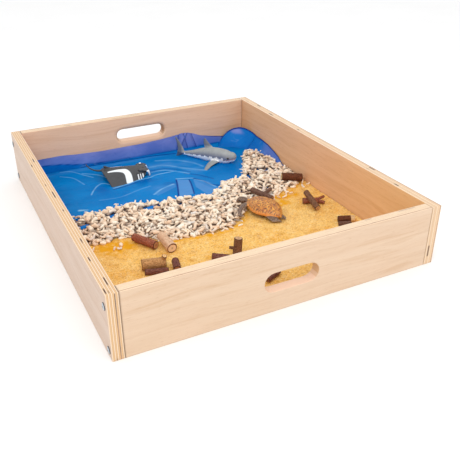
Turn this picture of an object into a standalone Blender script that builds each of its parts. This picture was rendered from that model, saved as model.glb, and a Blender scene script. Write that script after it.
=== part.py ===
"""Sand and water table: a low plywood tray with a let-in base, a liner sheet with shallow water,
a gravel band, a sand layer, three toy animals and loose logs. Metres, +Z up, +Y from the front panel to
the back panel. The origin is at the centre of the tray, on the surface it stands on."""
import math

import bmesh
import bpy
from mathutils import Matrix, Vector

# Tray
WIDTH = 0.750
DEPTH = 0.900
HEIGHT = 0.144
PLY = 0.024
GAP = 0.0003
EDGE_BREAK = 0.0012

# Hand holes: half length and half height of the straight-sided opening, and its centre height
FRONT_HOLE = (0.063, 0.022, 0.0695)
BACK_HOLE = (0.074, 0.017, 0.088)
HOLE_EDGE_ROUND = 0.0015
BACK_HOLE_INNER_ROUND = 0.012

# Base panel, let into a rebate from below
BASE_LOW = 0.0015
BASE_THICK = 0.005
REBATE = 0.008

# Corner screws through the side panels, and base screws from below
SCREW_HEAD_RADIUS = 0.008
SCREW_HEAD_HEIGHT = 0.0028
SCREW_SHANK_RADIUS = 0.003
SCREW_LENGTH = 0.060
SCREW_INSET = 0.015
SCREW_HEIGHTS = {"low": 0.017, "high": 0.113}
BASE_SCREW_HEAD_RADIUS = 0.0032
BASE_SCREW_SHANK_RADIUS = 0.0016
BASE_SCREW_LENGTH = 0.018

# Contents
BASE_TOP = BASE_LOW + BASE_THICK
LINER_THICK = 0.0005
LINER_FLOOR = BASE_TOP + GAP
LINER_FRONT = 0.044
LINER_RISE = 0.054
SAND_TOP = 0.0105
WATER_TOP = 0.0130
GRAVEL_TOP = 0.0185
WALL_CLEAR = 0.0012

INNER_X = WIDTH / 2 - PLY
INNER_Y = DEPTH / 2 - PLY

# Far and near edges of the gravel band: a smooth curve over evenly spaced stations from left to right
GRAVEL_FAR = (0.125, 0.113, 0.120, 0.124, 0.104, 0.095, 0.080, 0.138, 0.162, 0.298, 0.318)
GRAVEL_NEAR = (-0.020, -0.052, -0.048, -0.098, -0.114, -0.122, -0.098, -0.018, -0.006, 0.010, 0.040)


# ---------------------------------------------------------------- helpers

def clear_scene():
    for obj in list(bpy.data.objects):
        bpy.data.objects.remove(obj, do_unlink=True)


def collection(name):
    found = bpy.data.collections.new(name)
    bpy.context.scene.collection.children.link(found)
    return found


def material(name, colour, roughness, metallic=0.0):
    mat = bpy.data.materials.new(name)
    mat.use_nodes = True
    shader = mat.node_tree.nodes["Principled BSDF"]
    shader.inputs["Base Color"].default_value = (*colour, 1.0)
    shader.inputs["Roughness"].default_value = roughness
    shader.inputs["Metallic"].default_value = metallic
    mat.diffuse_color = (*colour, 1.0)
    return mat


def mesh_from(bm, name):
    bmesh.ops.recalc_face_normals(bm, faces=bm.faces)
    mesh = bpy.data.meshes.new(name)
    bm.to_mesh(mesh)
    bm.free()
    return mesh


def add_part(name, mesh, mat, matrix=None, smooth=False):
    obj = bpy.data.objects.new(name, mesh)
    PARTS.objects.link(obj)
    mesh.materials.append(mat)
    if matrix is not None:
        obj.matrix_world = matrix
    if smooth:
        mesh.shade_smooth()
        mesh.set_sharp_from_angle(angle=math.radians(40))
    return obj


def add_cutter(name, mesh, matrix=None):
    obj = bpy.data.objects.new(name, mesh)
    CUTTERS.objects.link(obj)
    obj.hide_render = True
    obj.display_type = "WIRE"
    if matrix is not None:
        obj.matrix_world = matrix
    return obj


def combine(obj, other, operation):
    modifier = obj.modifiers.new(f"{operation.lower()} {other.name}", "BOOLEAN")
    modifier.operation = operation
    modifier.object = other
    modifier.solver = "EXACT"


def box_mesh(name, low, high):
    low, high = Vector(low), Vector(high)
    size = high - low
    bm = bmesh.new()
    place = Matrix.Translation((low + high) / 2) @ Matrix.Diagonal((*size, 1.0))
    bmesh.ops.create_cube(bm, size=1.0, matrix=place)
    return mesh_from(bm, name)


def rod_mesh(name, start, end, radius_start, radius_end, segments=16):
    """A tapered rod with flat ends, from start to end."""
    start, end = Vector(start), Vector(end)
    along = end - start
    turn = along.to_track_quat("Z", "Y").to_matrix().to_4x4()
    bm = bmesh.new()
    bmesh.ops.create_cone(bm, cap_ends=True, segments=segments, radius1=radius_start, radius2=radius_end,
                          depth=along.length, matrix=Matrix.Translation((start + end) / 2) @ turn)
    return mesh_from(bm, name)


def ball_mesh(name, centre, radii, turn=None, segments=16, rings=10):
    """An ellipsoid with half axes radii, turned by a matrix about its centre."""
    turn = Matrix.Identity(4) if turn is None else turn
    place = Matrix.Translation(centre) @ turn @ Matrix.Diagonal((*radii, 1.0))
    bm = bmesh.new()
    bmesh.ops.create_uvsphere(bm, u_segments=segments, v_segments=rings, radius=1.0, matrix=place)
    return mesh_from(bm, name)


def slab_mesh(name, columns, rows, top, bottom):
    """A closed slab over a grid: top(u, v) and bottom(u, v) give its surfaces, u and v from 0 to 1."""
    bm = bmesh.new()
    bmesh.ops.create_grid(bm, x_segments=columns, y_segments=rows, size=0.5)
    upper = list(bm.verts)
    place = {vert: (vert.co.x + 0.5, vert.co.y + 0.5) for vert in upper}
    grown = bmesh.ops.extrude_face_region(bm, geom=list(bm.faces), use_keep_orig=True)
    lower = [item for item in grown["geom"] if isinstance(item, bmesh.types.BMVert)]
    for vert in lower:
        vert.co = bottom(vert.co.x + 0.5, vert.co.y + 0.5)
    for vert in upper:
        vert.co = top(*place[vert])
    return mesh_from(bm, name)


def turned_part(name, profile, steps, mat, matrix):
    """A solid turned about Z from (radius, height) points that run down from its top point."""
    mesh = bpy.data.meshes.new(name)
    verts = [(radius, 0.0, height) for radius, height in profile]
    mesh.from_pydata(verts, [(i, i + 1) for i in range(len(verts) - 1)], [])
    obj = add_part(name, mesh, mat, matrix)
    screw = obj.modifiers.new("turn", "SCREW")
    screw.angle = 2 * math.pi
    screw.steps = steps
    screw.render_steps = steps
    screw.use_merge_vertices = True
    screw.merge_threshold = 0.00001
    screw.use_smooth_shade = True
    return obj


def smooth_curve(values, share):
    """Catmull-Rom value at a share from 0 to 1 of evenly spaced values."""
    last = len(values) - 1
    position = min(max(share, 0.0), 1.0) * last
    index = min(int(position), last - 1)
    t = position - index
    before = values[max(index - 1, 0)]
    here, after = values[index], values[index + 1]
    beyond = values[min(index + 2, last)]
    return 0.5 * (2 * here + (after - before) * t + (2 * before - 5 * here + 4 * after - beyond) * t ** 2
                  + (3 * here - before - 3 * after + beyond) * t ** 3)


def blend(low, high, share):
    return low + (high - low) * share


# ---------------------------------------------------------------- tray

def hole_cutter(name, hole, y_outer, y_inner, outer_round, inner_round):
    """A cutter for a round-ended hole along Y whose rim grows towards both faces, as rounded edges do."""
    half_length, half_height, height = hole
    straight = half_length - half_height
    toward = math.copysign(1.0, y_inner - y_outer)
    round_steps = 5
    end_steps = 8
    stations = [(y_outer - toward * 0.004, outer_round)]
    for step in reversed(range(round_steps + 1)):
        angle = math.pi / 2 * step / round_steps
        along, growth = 1 - math.sin(angle), 1 - math.cos(angle)
        stations.append((y_outer + toward * outer_round * along, outer_round * growth))
    for step in range(round_steps + 1):
        angle = math.pi / 2 * step / round_steps
        along, growth = 1 - math.sin(angle), 1 - math.cos(angle)
        stations.append((y_inner - toward * inner_round * along, inner_round * growth))
    stations.append((y_inner + toward * 0.004, inner_round))
    bm = bmesh.new()
    rings = []
    for y, growth in stations:
        radius = half_height + growth
        ring = []
        for side in (1, -1):
            for step in range(end_steps + 1):
                angle = math.pi * step / end_steps
                x = side * (straight + radius * math.sin(angle))
                z = height - side * radius * math.cos(angle)
                ring.append(bm.verts.new((x, y, z)))
        rings.append(ring)
    for ring, following in zip(rings, rings[1:]):
        for index in range(len(ring)):
            other = (index + 1) % len(ring)
            bm.faces.new((ring[index], ring[other], following[other], following[index]))
    bm.faces.new(rings[0])
    bm.faces.new(rings[-1])
    return add_cutter(name, mesh_from(bm, name))


def panel(name, low, high, mat, cutters):
    obj = add_part(name, box_mesh(name, low, high), mat)
    bevel = obj.modifiers.new("broken edges", "BEVEL")
    bevel.width = EDGE_BREAK
    bevel.segments = 2
    for cutter in cutters:
        combine(obj, cutter, "DIFFERENCE")
    return obj


def screw_places():
    """Name, head point on the side panel's outer face, and inward direction along X of each corner screw."""
    places = []
    for side, sign in (("left", -1), ("right", 1)):
        for end, y_sign in (("front", -1), ("back", 1)):
            for level, height in SCREW_HEIGHTS.items():
                point = Vector((sign * WIDTH / 2, y_sign * (DEPTH / 2 - SCREW_INSET), height))
                places.append((f"corner_screw_{side}_{end}_{level}", point, -sign))
    return places


def base_screw_places():
    """Name and underside point of each base screw, in the middle of the rebate."""
    x_edge = INNER_X + REBATE / 2
    y_edge = INNER_Y + REBATE / 2
    places = []
    for side, sign in (("left", -1), ("right", 1)):
        for index, y in enumerate((-0.30, 0.0, 0.30), 1):
            places.append((f"base_screw_{side}_{index}", Vector((sign * x_edge, y, BASE_LOW))))
    for side, sign in (("front", -1), ("back", 1)):
        for index, x in enumerate((-0.22, 0.0, 0.22), 1):
            places.append((f"base_screw_{side}_{index}", Vector((x, sign * y_edge, BASE_LOW))))
    return places


def build_corner_screws(steel):
    """Round-head wood screws with a cross recess."""
    r, h, shank = SCREW_HEAD_RADIUS, SCREW_HEAD_HEIGHT, SCREW_SHANK_RADIUS
    profile = [(0.0, h), (0.45 * r, 0.93 * h), (0.78 * r, 0.68 * h), (0.96 * r, 0.30 * h), (r, GAP),
               (shank, GAP), (shank, -SCREW_LENGTH + 0.006), (0.0004, -SCREW_LENGTH), (0.0, -SCREW_LENGTH)]
    for name, point, inward in screw_places():
        turn = Matrix.Rotation(-inward * math.pi / 2, 4, "Y")
        place = Matrix.Translation(point) @ turn
        screw = turned_part(name, profile, 24, steel, place)
        for index in range(2):
            label = f"recess_{index}_{name}"
            arm = box_mesh(label, (-0.55 * r, -0.0008, h - 0.0016), (0.55 * r, 0.0008, h + 0.002))
            quarter = Matrix.Rotation(math.pi / 2 * index + 0.4, 4, "Z")
            cutter = add_cutter(label, arm, place @ quarter)
            combine(screw, cutter, "DIFFERENCE")


def build_base_screws(steel):
    """Countersunk screws that hold the base up in its rebate."""
    r, shank = BASE_SCREW_HEAD_RADIUS, BASE_SCREW_SHANK_RADIUS
    profile = [(0.0, BASE_SCREW_LENGTH), (0.0003, BASE_SCREW_LENGTH), (shank, BASE_SCREW_LENGTH - 0.003),
               (shank, 0.0020), (r, 0.0004), (r, 0.0001), (0.0, 0.0001)]
    for name, point in base_screw_places():
        turned_part(name, profile, 12, steel, Matrix.Translation(point))


def drill(name, point, direction, radius, length):
    """A round cutter from just outside point, along direction."""
    direction = Vector(direction)
    start, end = point - direction * 0.002, point + direction * length
    return add_cutter(name, rod_mesh(name, start, end, radius, radius, 16))


def build_tray(wood, base_wood):
    x, y = WIDTH / 2, DEPTH / 2
    base_x, base_y = INNER_X + REBATE, INNER_Y + REBATE
    rebate_mesh = box_mesh("base_rebate", (-base_x - GAP, -base_y - GAP, -0.01),
                           (base_x + GAP, base_y + GAP, BASE_TOP + GAP))
    rebate = add_cutter("base_rebate", rebate_mesh)
    drills = {"left": [], "right": [], "front": [], "back": []}
    for name, point, inward in screw_places():
        hole = drill(f"drill_{name}", point, (inward, 0, 0), SCREW_SHANK_RADIUS + GAP, SCREW_LENGTH + 0.001)
        for side in drills:
            if f"_{side}_" in name:
                drills[side].append(hole)
    base_cutters = []
    for name, point in base_screw_places():
        narrow = BASE_SCREW_SHANK_RADIUS + GAP
        hole = drill(f"drill_{name}", point, (0, 0, 1), narrow, BASE_SCREW_LENGTH + 0.001)
        below, above = point - Vector((0, 0, 0.0006)), point + Vector((0, 0, 0.0024))
        cone = rod_mesh(f"sink_{name}", below, above, BASE_SCREW_HEAD_RADIUS + 0.0011, narrow, 16)
        base_cutters += [hole, add_cutter(f"sink_{name}", cone)]
        drills[name.split("_")[2]].append(hole)
    front_hole = hole_cutter("front_hand_hole", FRONT_HOLE, -y, -INNER_Y, HOLE_EDGE_ROUND, HOLE_EDGE_ROUND)
    back_hole = hole_cutter("back_hand_hole", BACK_HOLE, y, INNER_Y, HOLE_EDGE_ROUND, BACK_HOLE_INNER_ROUND)
    panel("side_panel_left", (-x, -y, 0), (-INNER_X, y, HEIGHT), wood, [rebate, *drills["left"]])
    panel("side_panel_right", (INNER_X, -y, 0), (x, y, HEIGHT), wood, [rebate, *drills["right"]])
    panel("front_panel", (-INNER_X + GAP, -y, 0), (INNER_X - GAP, -INNER_Y, HEIGHT), wood,
          [front_hole, rebate, *drills["front"]])
    panel("back_panel", (-INNER_X + GAP, INNER_Y, 0), (INNER_X - GAP, y, HEIGHT), wood,
          [back_hole, rebate, *drills["back"]])
    base_mesh = box_mesh("base_panel", (-base_x, -base_y, BASE_LOW), (base_x, base_y, BASE_TOP))
    base = add_part("base_panel", base_mesh, base_wood)
    for cutter in base_cutters:
        combine(base, cutter, "DIFFERENCE")


# ---------------------------------------------------------------- liner, water, gravel and sand

def liner_height(x, y):
    """How far the liner stands up the walls: full height at the back, falling to the floor at the gravel."""
    if y > INNER_Y - 0.01:
        return LINER_RISE
    start, full = 0.140, 0.260
    share = min(max((y - start) / (full - start), 0.0), 1.0)
    return 0.004 + (LINER_RISE - 0.004) * share


def build_liner(mat):
    half = INNER_X - WALL_CLEAR
    back = INNER_Y - WALL_CLEAR
    columns, rows = 14, 10
    bm = bmesh.new()
    bmesh.ops.create_grid(bm, x_segments=columns, y_segments=rows, size=0.5)
    for vert in bm.verts:
        vert.co = ((vert.co.x * 2) * half, blend(LINER_FRONT, back, vert.co.y + 0.5), LINER_FLOOR)
    margin = 0.0001
    rim = [edge for edge in bm.edges if edge.is_boundary
           and not all(vert.co.y < LINER_FRONT + margin for vert in edge.verts)
           and not any(vert.co.y < 0.130 for vert in edge.verts)]
    grown = bmesh.ops.extrude_edge_only(bm, edges=rim)
    for vert in (item for item in grown["geom"] if isinstance(item, bmesh.types.BMVert)):
        vert.co.z += liner_height(vert.co.x, vert.co.y)
    obj = add_part("liner_sheet", mesh_from(bm, "liner_sheet"), mat)
    solid = obj.modifiers.new("thickness", "SOLIDIFY")
    solid.thickness = LINER_THICK
    solid.offset = -1.0
    return obj


def band_point(u, v, near, far, height):
    """A point of a band across the tray, u from left to right and v from its near edge to its far edge."""
    x = blend(-INNER_X + WALL_CLEAR * 2, INNER_X - WALL_CLEAR * 2, u)
    return Vector((x, blend(near(u), far(u), v), height))


def gravel_near(u):
    return smooth_curve(GRAVEL_NEAR, u)


def gravel_far(u):
    return smooth_curve(GRAVEL_FAR, u)


def build_gravel(mat):
    low = LINER_FLOOR + LINER_THICK + GAP

    def top(u, v):
        crown = math.sin(math.pi * v) ** 0.5 if 0.0 < v < 1.0 else 0.0
        ripple = 0.0010 * math.sin(23 * u) * math.cos(11 * v)
        height = low + 0.0015 + (GRAVEL_TOP - 0.0035 - low + ripple) * crown
        return band_point(u, v, gravel_near, gravel_far, height)

    def bottom(u, v):
        return band_point(u, v, gravel_near, gravel_far, low)

    return add_part("gravel_bed", slab_mesh("gravel_bed", 28, 8, top, bottom), mat)


def build_sand(mat):
    front = -INNER_Y + WALL_CLEAR

    def edge(u):
        return gravel_near(u) - GAP

    def top(u, v):
        wave = 0.0008 * math.sin(9 * u + 2) * math.sin(6 * v) - 0.0005
        return band_point(u, v, lambda share: front, edge, SAND_TOP + wave)

    def bottom(u, v):
        return band_point(u, v, lambda share: front, edge, BASE_TOP + GAP)

    return add_part("sand_layer", slab_mesh("sand_layer", 28, 10, top, bottom), mat)


def build_water(mat):
    back = INNER_Y - WALL_CLEAR * 3

    def edge(u):
        return gravel_far(u) + GAP

    def surface(height):
        return lambda u, v: band_point(u, v, edge, lambda share: back, height)

    low = LINER_FLOOR + LINER_THICK + GAP
    water = add_part("water_layer", slab_mesh("water_layer", 28, 4, surface(WATER_TOP), surface(low)), mat)
    for name, place, turn, corner, opposite in WATER_POCKETS:
        pocket = box_mesh(name, (*corner, -0.01), (*opposite, 0.02))
        combine(water, add_cutter(name, pocket, toy_matrix(place, turn)), "DIFFERENCE")
    return water


# ---------------------------------------------------------------- toy animals

# Each toy is modelled nose towards +X with its lowest point at zero, and stands at a place, turned about Z
LINER_TOP = LINER_FLOOR + LINER_THICK
RAY_PLACE = (-0.100, 0.306, LINER_TOP + GAP)
RAY_TURN = math.radians(-9)
SHARK_PLACE = (0.1765, 0.297, LINER_TOP + GAP)
SHARK_TURN = math.radians(-46.7)
TURTLE_PLACE = (0.1515, -0.0848, SAND_TOP + GAP * 2)
TURTLE_TURN = math.radians(99.5)

# Where the toys stand through the water: name, place, turn and two opposite corners in the toy's own frame
WATER_POCKETS = (
    ("ray_pocket", RAY_PLACE, RAY_TURN, (-0.086, -0.106), (0.082, 0.140)),
    ("shark_body_pocket", SHARK_PLACE, SHARK_TURN, (-0.126, -0.026), (0.088, 0.026)),
    ("shark_fin_pocket", SHARK_PLACE, SHARK_TURN, (-0.012, -0.096), (0.042, 0.096)),
)


def toy_matrix(place, turn):
    return Matrix.Translation(place) @ Matrix.Rotation(turn, 4, "Z")


def joined_toy(name, body, extras, mat, matrix):
    """One closed toy from a body mesh and extra meshes that run into it."""
    toy = add_part(name, body, mat, matrix, smooth=True)
    for index, extra in enumerate(extras):
        combine(toy, add_cutter(f"{name}_piece_{index}", extra, matrix), "UNION")
    return toy


def fin_mesh(name, root_front, root_back, tip_front, tip_back, thick_root, thick_tip):
    """A flat tapered fin between a root edge and a tip edge, thickened across its own plane."""
    root_front, root_back = Vector(root_front), Vector(root_back)
    tip_front, tip_back = Vector(tip_front), Vector(tip_back)
    across = (tip_front - root_front).cross(root_back - root_front).normalized()

    def side(sign):
        def point(u, v):
            middle = root_front.lerp(root_back, v).lerp(tip_front.lerp(tip_back, v), u)
            thick = blend(thick_root, thick_tip, u) * (0.25 + 0.75 * math.sin(math.pi * v))
            return middle + across * sign * thick / 2
        return point

    return slab_mesh(name, 3, 4, side(1), side(-1))


RAY_HALF_SPAN = 0.100
RAY_RIDGE = 0.0324
# Leading and trailing edge of a wing at evenly spaced stations from the spine to the tip
RAY_LEAD = (0.062, 0.063, 0.044, 0.018, -0.008, -0.030)
RAY_TRAIL = (-0.065, -0.062, -0.056, -0.050, -0.044, -0.040)
# Where the wing comes down to the water, as a distance from the spine at evenly spaced stations tail to nose
RAY_DROOP = (0.084, 0.077, 0.068, 0.057, 0.043, 0.034)
RAY_DROOP_START, RAY_DROOP_END = -0.080, 0.070


def ray_top(x, y):
    """Height of the manta's back above the floor it rests on."""
    reach = smooth_curve(RAY_DROOP, (x - RAY_DROOP_START) / (RAY_DROOP_END - RAY_DROOP_START))
    share = abs(y) / reach
    if share < 1.0:
        return RAY_RIDGE - 0.0285 * share ** 1.35
    return max(0.0030, RAY_RIDGE - 0.0285 - 0.006 * (share - 1.0))


def ray_thickness(x, y):
    body = max(0.0, 1 - (y / 0.027) ** 2)
    return 0.0036 + body * blend(0.010, 0.022, (x + 0.065) / 0.127)


def build_ray(mat):
    """A manta: wings arched down to the floor, a deep head with two lobes, and a thin tail."""
    def wing(u, v, lower):
        y = (2 * v - 1) * RAY_HALF_SPAN
        share = abs(2 * v - 1)
        x = blend(smooth_curve(RAY_TRAIL, share), smooth_curve(RAY_LEAD, share), u)
        edge = math.sin(math.pi * u) ** 0.5 if 0.0 < u < 1.0 else 0.0
        thick = ray_thickness(x, y)
        high = ray_top(x, y) - 0.0010 * (1 - edge)
        if not lower:
            return Vector((x, y, high))
        return Vector((x, y, max(0.0, high - blend(0.0015, thick, edge))))

    body = slab_mesh("manta_ray", 10, 16, lambda u, v: wing(u, v, False), lambda u, v: wing(u, v, True))
    lobes = [fin_mesh(f"lobe_{sign}", (0.056, sign * 0.018, 0.026), (0.056, sign * 0.009, 0.028),
                      (0.074, sign * 0.017, 0.004), (0.071, sign * 0.011, 0.004), 0.007, 0.003)
             for sign in (1, -1)]
    tail = RAY_TRAIL[0]
    root, bend, tip = (tail + 0.014, 0, 0.029), (tail - 0.020, 0, 0.029), (tail - 0.044, 0.022, 0.037)
    tail_start = rod_mesh("tail_start", root, bend, 0.0034, 0.0021, 8)
    tail_end = rod_mesh("tail_end", (tail - 0.017, 0, 0.0288), tip, 0.0021, 0.0012, 8)
    dorsal = fin_mesh("dorsal", (tail + 0.032, 0, 0.031), (tail + 0.010, 0, 0.030),
                      (tail + 0.008, 0, 0.043), (tail + 0.001, 0, 0.042), 0.004, 0.0015)
    extras = [*lobes, tail_start, tail_end, dorsal]
    joined_toy("manta_ray", body, extras, mat, toy_matrix(RAY_PLACE, RAY_TURN))


SHARK_NOSE = 0.081
SHARK_LENGTH = 0.180
# Half width, top height and bottom height of the shark's body at evenly spaced stations from the nose
SHARK_HALF_WIDTH = (0.0, 0.0155, 0.0190, 0.0195, 0.0175, 0.0140, 0.0095, 0.0060, 0.0035)
SHARK_TOP = (0.025, 0.0415, 0.0462, 0.0472, 0.0458, 0.0400, 0.0320, 0.0258, 0.0215)
SHARK_BOTTOM = (0.025, 0.0045, 0.0004, 0.0004, 0.0010, 0.0040, 0.0075, 0.0100, 0.0120)


def build_shark(mat):
    """A round-headed shark on its belly and breast fins, with a tall back fin and a crescent tail."""
    bm = bmesh.new()
    turn = Matrix.Rotation(math.pi / 2, 4, "Y")
    bmesh.ops.create_uvsphere(bm, u_segments=14, v_segments=14, radius=1.0, matrix=turn)
    for vert in bm.verts:
        share = (1 - vert.co.x) / 2
        ring = math.hypot(vert.co.y, vert.co.z)
        side, up = (vert.co.y / ring, vert.co.z / ring) if ring > 1e-6 else (0.0, 0.0)
        high, low = smooth_curve(SHARK_TOP, share), smooth_curve(SHARK_BOTTOM, share)
        half_high = (high - low) / 2 if ring > 1e-6 else 0.0
        vert.co = (SHARK_NOSE - SHARK_LENGTH * share, side * smooth_curve(SHARK_HALF_WIDTH, share),
                   (high + low) / 2 + up * half_high)
    body = mesh_from(bm, "shark")
    breast = [fin_mesh(f"breast_{sign}", (0.036, sign * 0.010, 0.012), (0.004, sign * 0.010, 0.010),
                       (0.018, sign * 0.088, 0.0022), (0.006, sign * 0.086, 0.0022), 0.008, 0.002)
              for sign in (1, -1)]
    back = fin_mesh("back_fin", (0.012, 0, 0.042), (-0.018, 0, 0.040),
                    (-0.017, 0, 0.0735), (-0.023, 0, 0.0725), 0.008, 0.002)
    upper = fin_mesh("tail_upper", (-0.091, 0, 0.021), (-0.113, 0, 0.016),
                     (-0.1160, 0, 0.0655), (-0.1205, 0, 0.0650), 0.006, 0.0018)
    lower = fin_mesh("tail_lower", (-0.114, 0, 0.022), (-0.092, 0, 0.015),
                     (-0.1220, 0, 0.0015), (-0.1170, 0, 0.0015), 0.006, 0.0018)
    joined_toy("shark", body, [*breast, back, upper, lower], mat, toy_matrix(SHARK_PLACE, SHARK_TURN))


def limb(name, start, end, half_width, half_thick):
    """A flat rounded paddle from start to end."""
    start, end = Vector(start), Vector(end)
    along = end - start
    heading = math.atan2(along.y, along.x)
    pitch = -math.atan2(along.z, math.hypot(along.x, along.y))
    turn = Matrix.Rotation(heading, 4, "Z") @ Matrix.Rotation(pitch, 4, "Y")
    return ball_mesh(name, (start + end) / 2, (along.length / 2, half_width, half_thick), turn, 12, 8)


def build_turtle(mat):
    """A sea turtle: a domed shell, a head held out in front and four paddles."""
    shell = ball_mesh("turtle", (0, 0, 0.0180), (0.060, 0.041, 0.0165), segments=20, rings=12)
    extras = [
        limb("neck", (0.036, 0.006, 0.0165), (0.064, 0.020, 0.0165), 0.0080, 0.0070),
        limb("head", (0.060, 0.018, 0.0170), (0.076, 0.033, 0.0170), 0.0095, 0.0080),
        limb("front_paddle_near", (0.042, 0.014, 0.0165), (0.000, 0.083, 0.0120), 0.0095, 0.0034),
        limb("front_paddle_far", (0.036, -0.016, 0.0145), (0.000, -0.046, 0.0070), 0.0085, 0.0034),
        limb("rear_paddle_near", (-0.030, 0.016, 0.0110), (-0.069, 0.014, 0.0042), 0.0085, 0.0038),
        limb("rear_paddle_far", (-0.026, -0.012, 0.0110), (-0.063, -0.016, 0.0036), 0.0085, 0.0032),
    ]
    joined_toy("turtle", shell, extras, mat, toy_matrix(TURTLE_PLACE, TURTLE_TURN))


# ---------------------------------------------------------------- logs and twigs

# Name, start and end of the axis, radius at each, and any side branches as (start, end, radius, radius)
LOGS = (
    ("log_red", (-0.202, -0.071, 0.0225), (-0.168, -0.130, 0.0218), 0.0100, 0.0105, ()),
    ("log_tan", (-0.145, -0.103, 0.0290), (-0.141, -0.163, 0.0238), 0.0110, 0.0125, ()),
    ("log_ochre", (-0.228, -0.199, 0.0240), (-0.176, -0.212, 0.0240), 0.0125, 0.0125,
     (((-0.182, -0.210, 0.028), (-0.180, -0.216, 0.043), 0.0060, 0.0058),)),
    ("twig_dark_left", (-0.230, -0.2235, 0.0185), (-0.180, -0.2375, 0.0185), 0.0070, 0.0065, ()),
    ("log_short_dark", (-0.153, -0.209, 0.0200), (-0.163, -0.246, 0.0200), 0.0085, 0.0090, ()),
    ("log_chip_dark", (-0.072, -0.230, 0.0195), (-0.040, -0.252, 0.0190), 0.0080, 0.0075, ()),
    ("log_stump", (-0.013, -0.238, 0.0112), (-0.009, -0.237, 0.0540), 0.0108, 0.0098,
     (((-0.014, -0.236, 0.028), (-0.029, -0.230, 0.031), 0.0045, 0.0038),)),
    ("twig_forked", (0.168, 0.024, 0.0280), (0.196, -0.040, 0.0225), 0.0075, 0.0080,
     (((0.184, -0.012, 0.0255), (0.218, 0.006, 0.0270), 0.0055, 0.0050),)),
    ("log_dark_right", (0.282, 0.056, 0.0310), (0.337, 0.035, 0.0260), 0.0115, 0.0112, ()),
    ("twig_split", (0.264, -0.083, 0.0192), (0.302, -0.098, 0.0192), 0.0080, 0.0078,
     (((0.298, -0.0964, 0.0192), (0.322, -0.098, 0.0180), 0.0050, 0.0042),
      ((0.298, -0.0964, 0.0192), (0.316, -0.112, 0.0180), 0.0060, 0.0050))),
    ("twig_crossing", (0.277, -0.076, 0.0397), (0.275, -0.138, 0.0200), 0.0078, 0.0082, ()),
    ("log_pale_end", (0.286, -0.2115, 0.0197), (0.325, -0.2265, 0.0197), 0.0085, 0.0085, ()),
    ("twig_front_right", (0.276, -0.2275, 0.0168), (0.306, -0.2390, 0.0168), 0.0055, 0.0055, ()),
    ("twig_front", (-0.008, -0.368, 0.0175), (0.032, -0.348, 0.0175), 0.0060, 0.0060, ()),
)


def build_logs(mats):
    for name, start, end, radius_start, radius_end, branches in LOGS:
        stem = rod_mesh(name, start, end, radius_start, radius_end, 16)
        log = add_part(name, stem, mats[name.split("_")[0]], smooth=True)
        for index, (foot, tip, radius_foot, radius_tip) in enumerate(branches):
            branch = rod_mesh(f"{name}_branch_{index}", foot, tip, radius_foot, radius_tip, 10)
            combine(log, add_cutter(f"{name}_branch_{index}", branch), "UNION")


# ---------------------------------------------------------------- build

def main():
    wood = material("birch plywood", (0.86, 0.68, 0.50), 0.55)
    base_wood = material("base plywood", (0.80, 0.64, 0.46), 0.60)
    steel = material("zinc plated steel", (0.62, 0.63, 0.64), 0.35, 1.0)
    liner = material("blue vinyl", (0.02, 0.17, 0.50), 0.18)
    water = material("water", (0.05, 0.35, 0.65), 0.05)
    gravel = material("coral gravel", (0.80, 0.68, 0.56), 0.85)
    sand = material("sand", (0.86, 0.53, 0.16), 0.95)
    ray = material("manta black", (0.07, 0.07, 0.08), 0.40)
    shark = material("shark grey", (0.32, 0.34, 0.36), 0.40)
    turtle = material("turtle brown", (0.55, 0.22, 0.05), 0.40)
    bark = material("bark", (0.20, 0.08, 0.04), 0.85)
    twig_bark = material("twig bark", (0.14, 0.07, 0.04), 0.85)
    build_tray(wood, base_wood)
    build_corner_screws(steel)
    build_base_screws(steel)
    build_liner(liner)
    build_water(water)
    build_gravel(gravel)
    build_sand(sand)
    build_ray(ray)
    build_shark(shark)
    build_turtle(turtle)
    build_logs({"log": bark, "twig": twig_bark})


clear_scene()
PARTS = collection("sand_and_water_table")
CUTTERS = collection("cutters")
main()
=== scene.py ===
"""Looks of the sand and water table: plywood tray, creased blue liner, shallow water, coral gravel, sand,
three toy sea animals and loose logs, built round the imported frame."""

import math
import random

import bmesh
import bpy
import numpy as np
from mathutils import Matrix, Vector, noise


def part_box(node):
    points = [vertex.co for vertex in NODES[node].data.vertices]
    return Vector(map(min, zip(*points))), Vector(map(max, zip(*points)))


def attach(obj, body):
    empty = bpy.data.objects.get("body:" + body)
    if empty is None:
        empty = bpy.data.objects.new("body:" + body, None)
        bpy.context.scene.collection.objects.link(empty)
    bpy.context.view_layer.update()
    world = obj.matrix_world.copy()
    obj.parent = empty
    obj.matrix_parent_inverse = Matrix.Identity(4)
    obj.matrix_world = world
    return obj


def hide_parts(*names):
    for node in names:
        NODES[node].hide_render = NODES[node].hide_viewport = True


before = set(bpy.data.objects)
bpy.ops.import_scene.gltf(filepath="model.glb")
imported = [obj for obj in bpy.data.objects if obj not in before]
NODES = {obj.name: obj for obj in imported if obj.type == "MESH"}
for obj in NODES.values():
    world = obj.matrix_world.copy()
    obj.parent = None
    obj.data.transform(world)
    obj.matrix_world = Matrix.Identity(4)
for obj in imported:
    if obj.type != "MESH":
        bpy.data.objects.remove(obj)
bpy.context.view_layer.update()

# ---------------------------------------------------------------- sizes read from the frame

PANEL_LOW, PANEL_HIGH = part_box("front_panel")
INNER_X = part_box("side_panel_right")[0].x
INNER_FRONT = PANEL_HIGH.y
INNER_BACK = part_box("back_panel")[0].y
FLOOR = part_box("base_panel")[1].z + 0.0003
LINER_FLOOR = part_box("liner_sheet")[0].z
LINER_TOP = LINER_FLOOR + 0.0005
SAND_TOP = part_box("sand_layer")[1].z
WATER_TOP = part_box("water_layer")[1].z
WALL_CLEAR = 0.0012


def mm(rows):
    """Metres from millimetres, through any nesting of rows."""
    return tuple(map(mm, rows)) if isinstance(rows, tuple) else rows / 1000


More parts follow.
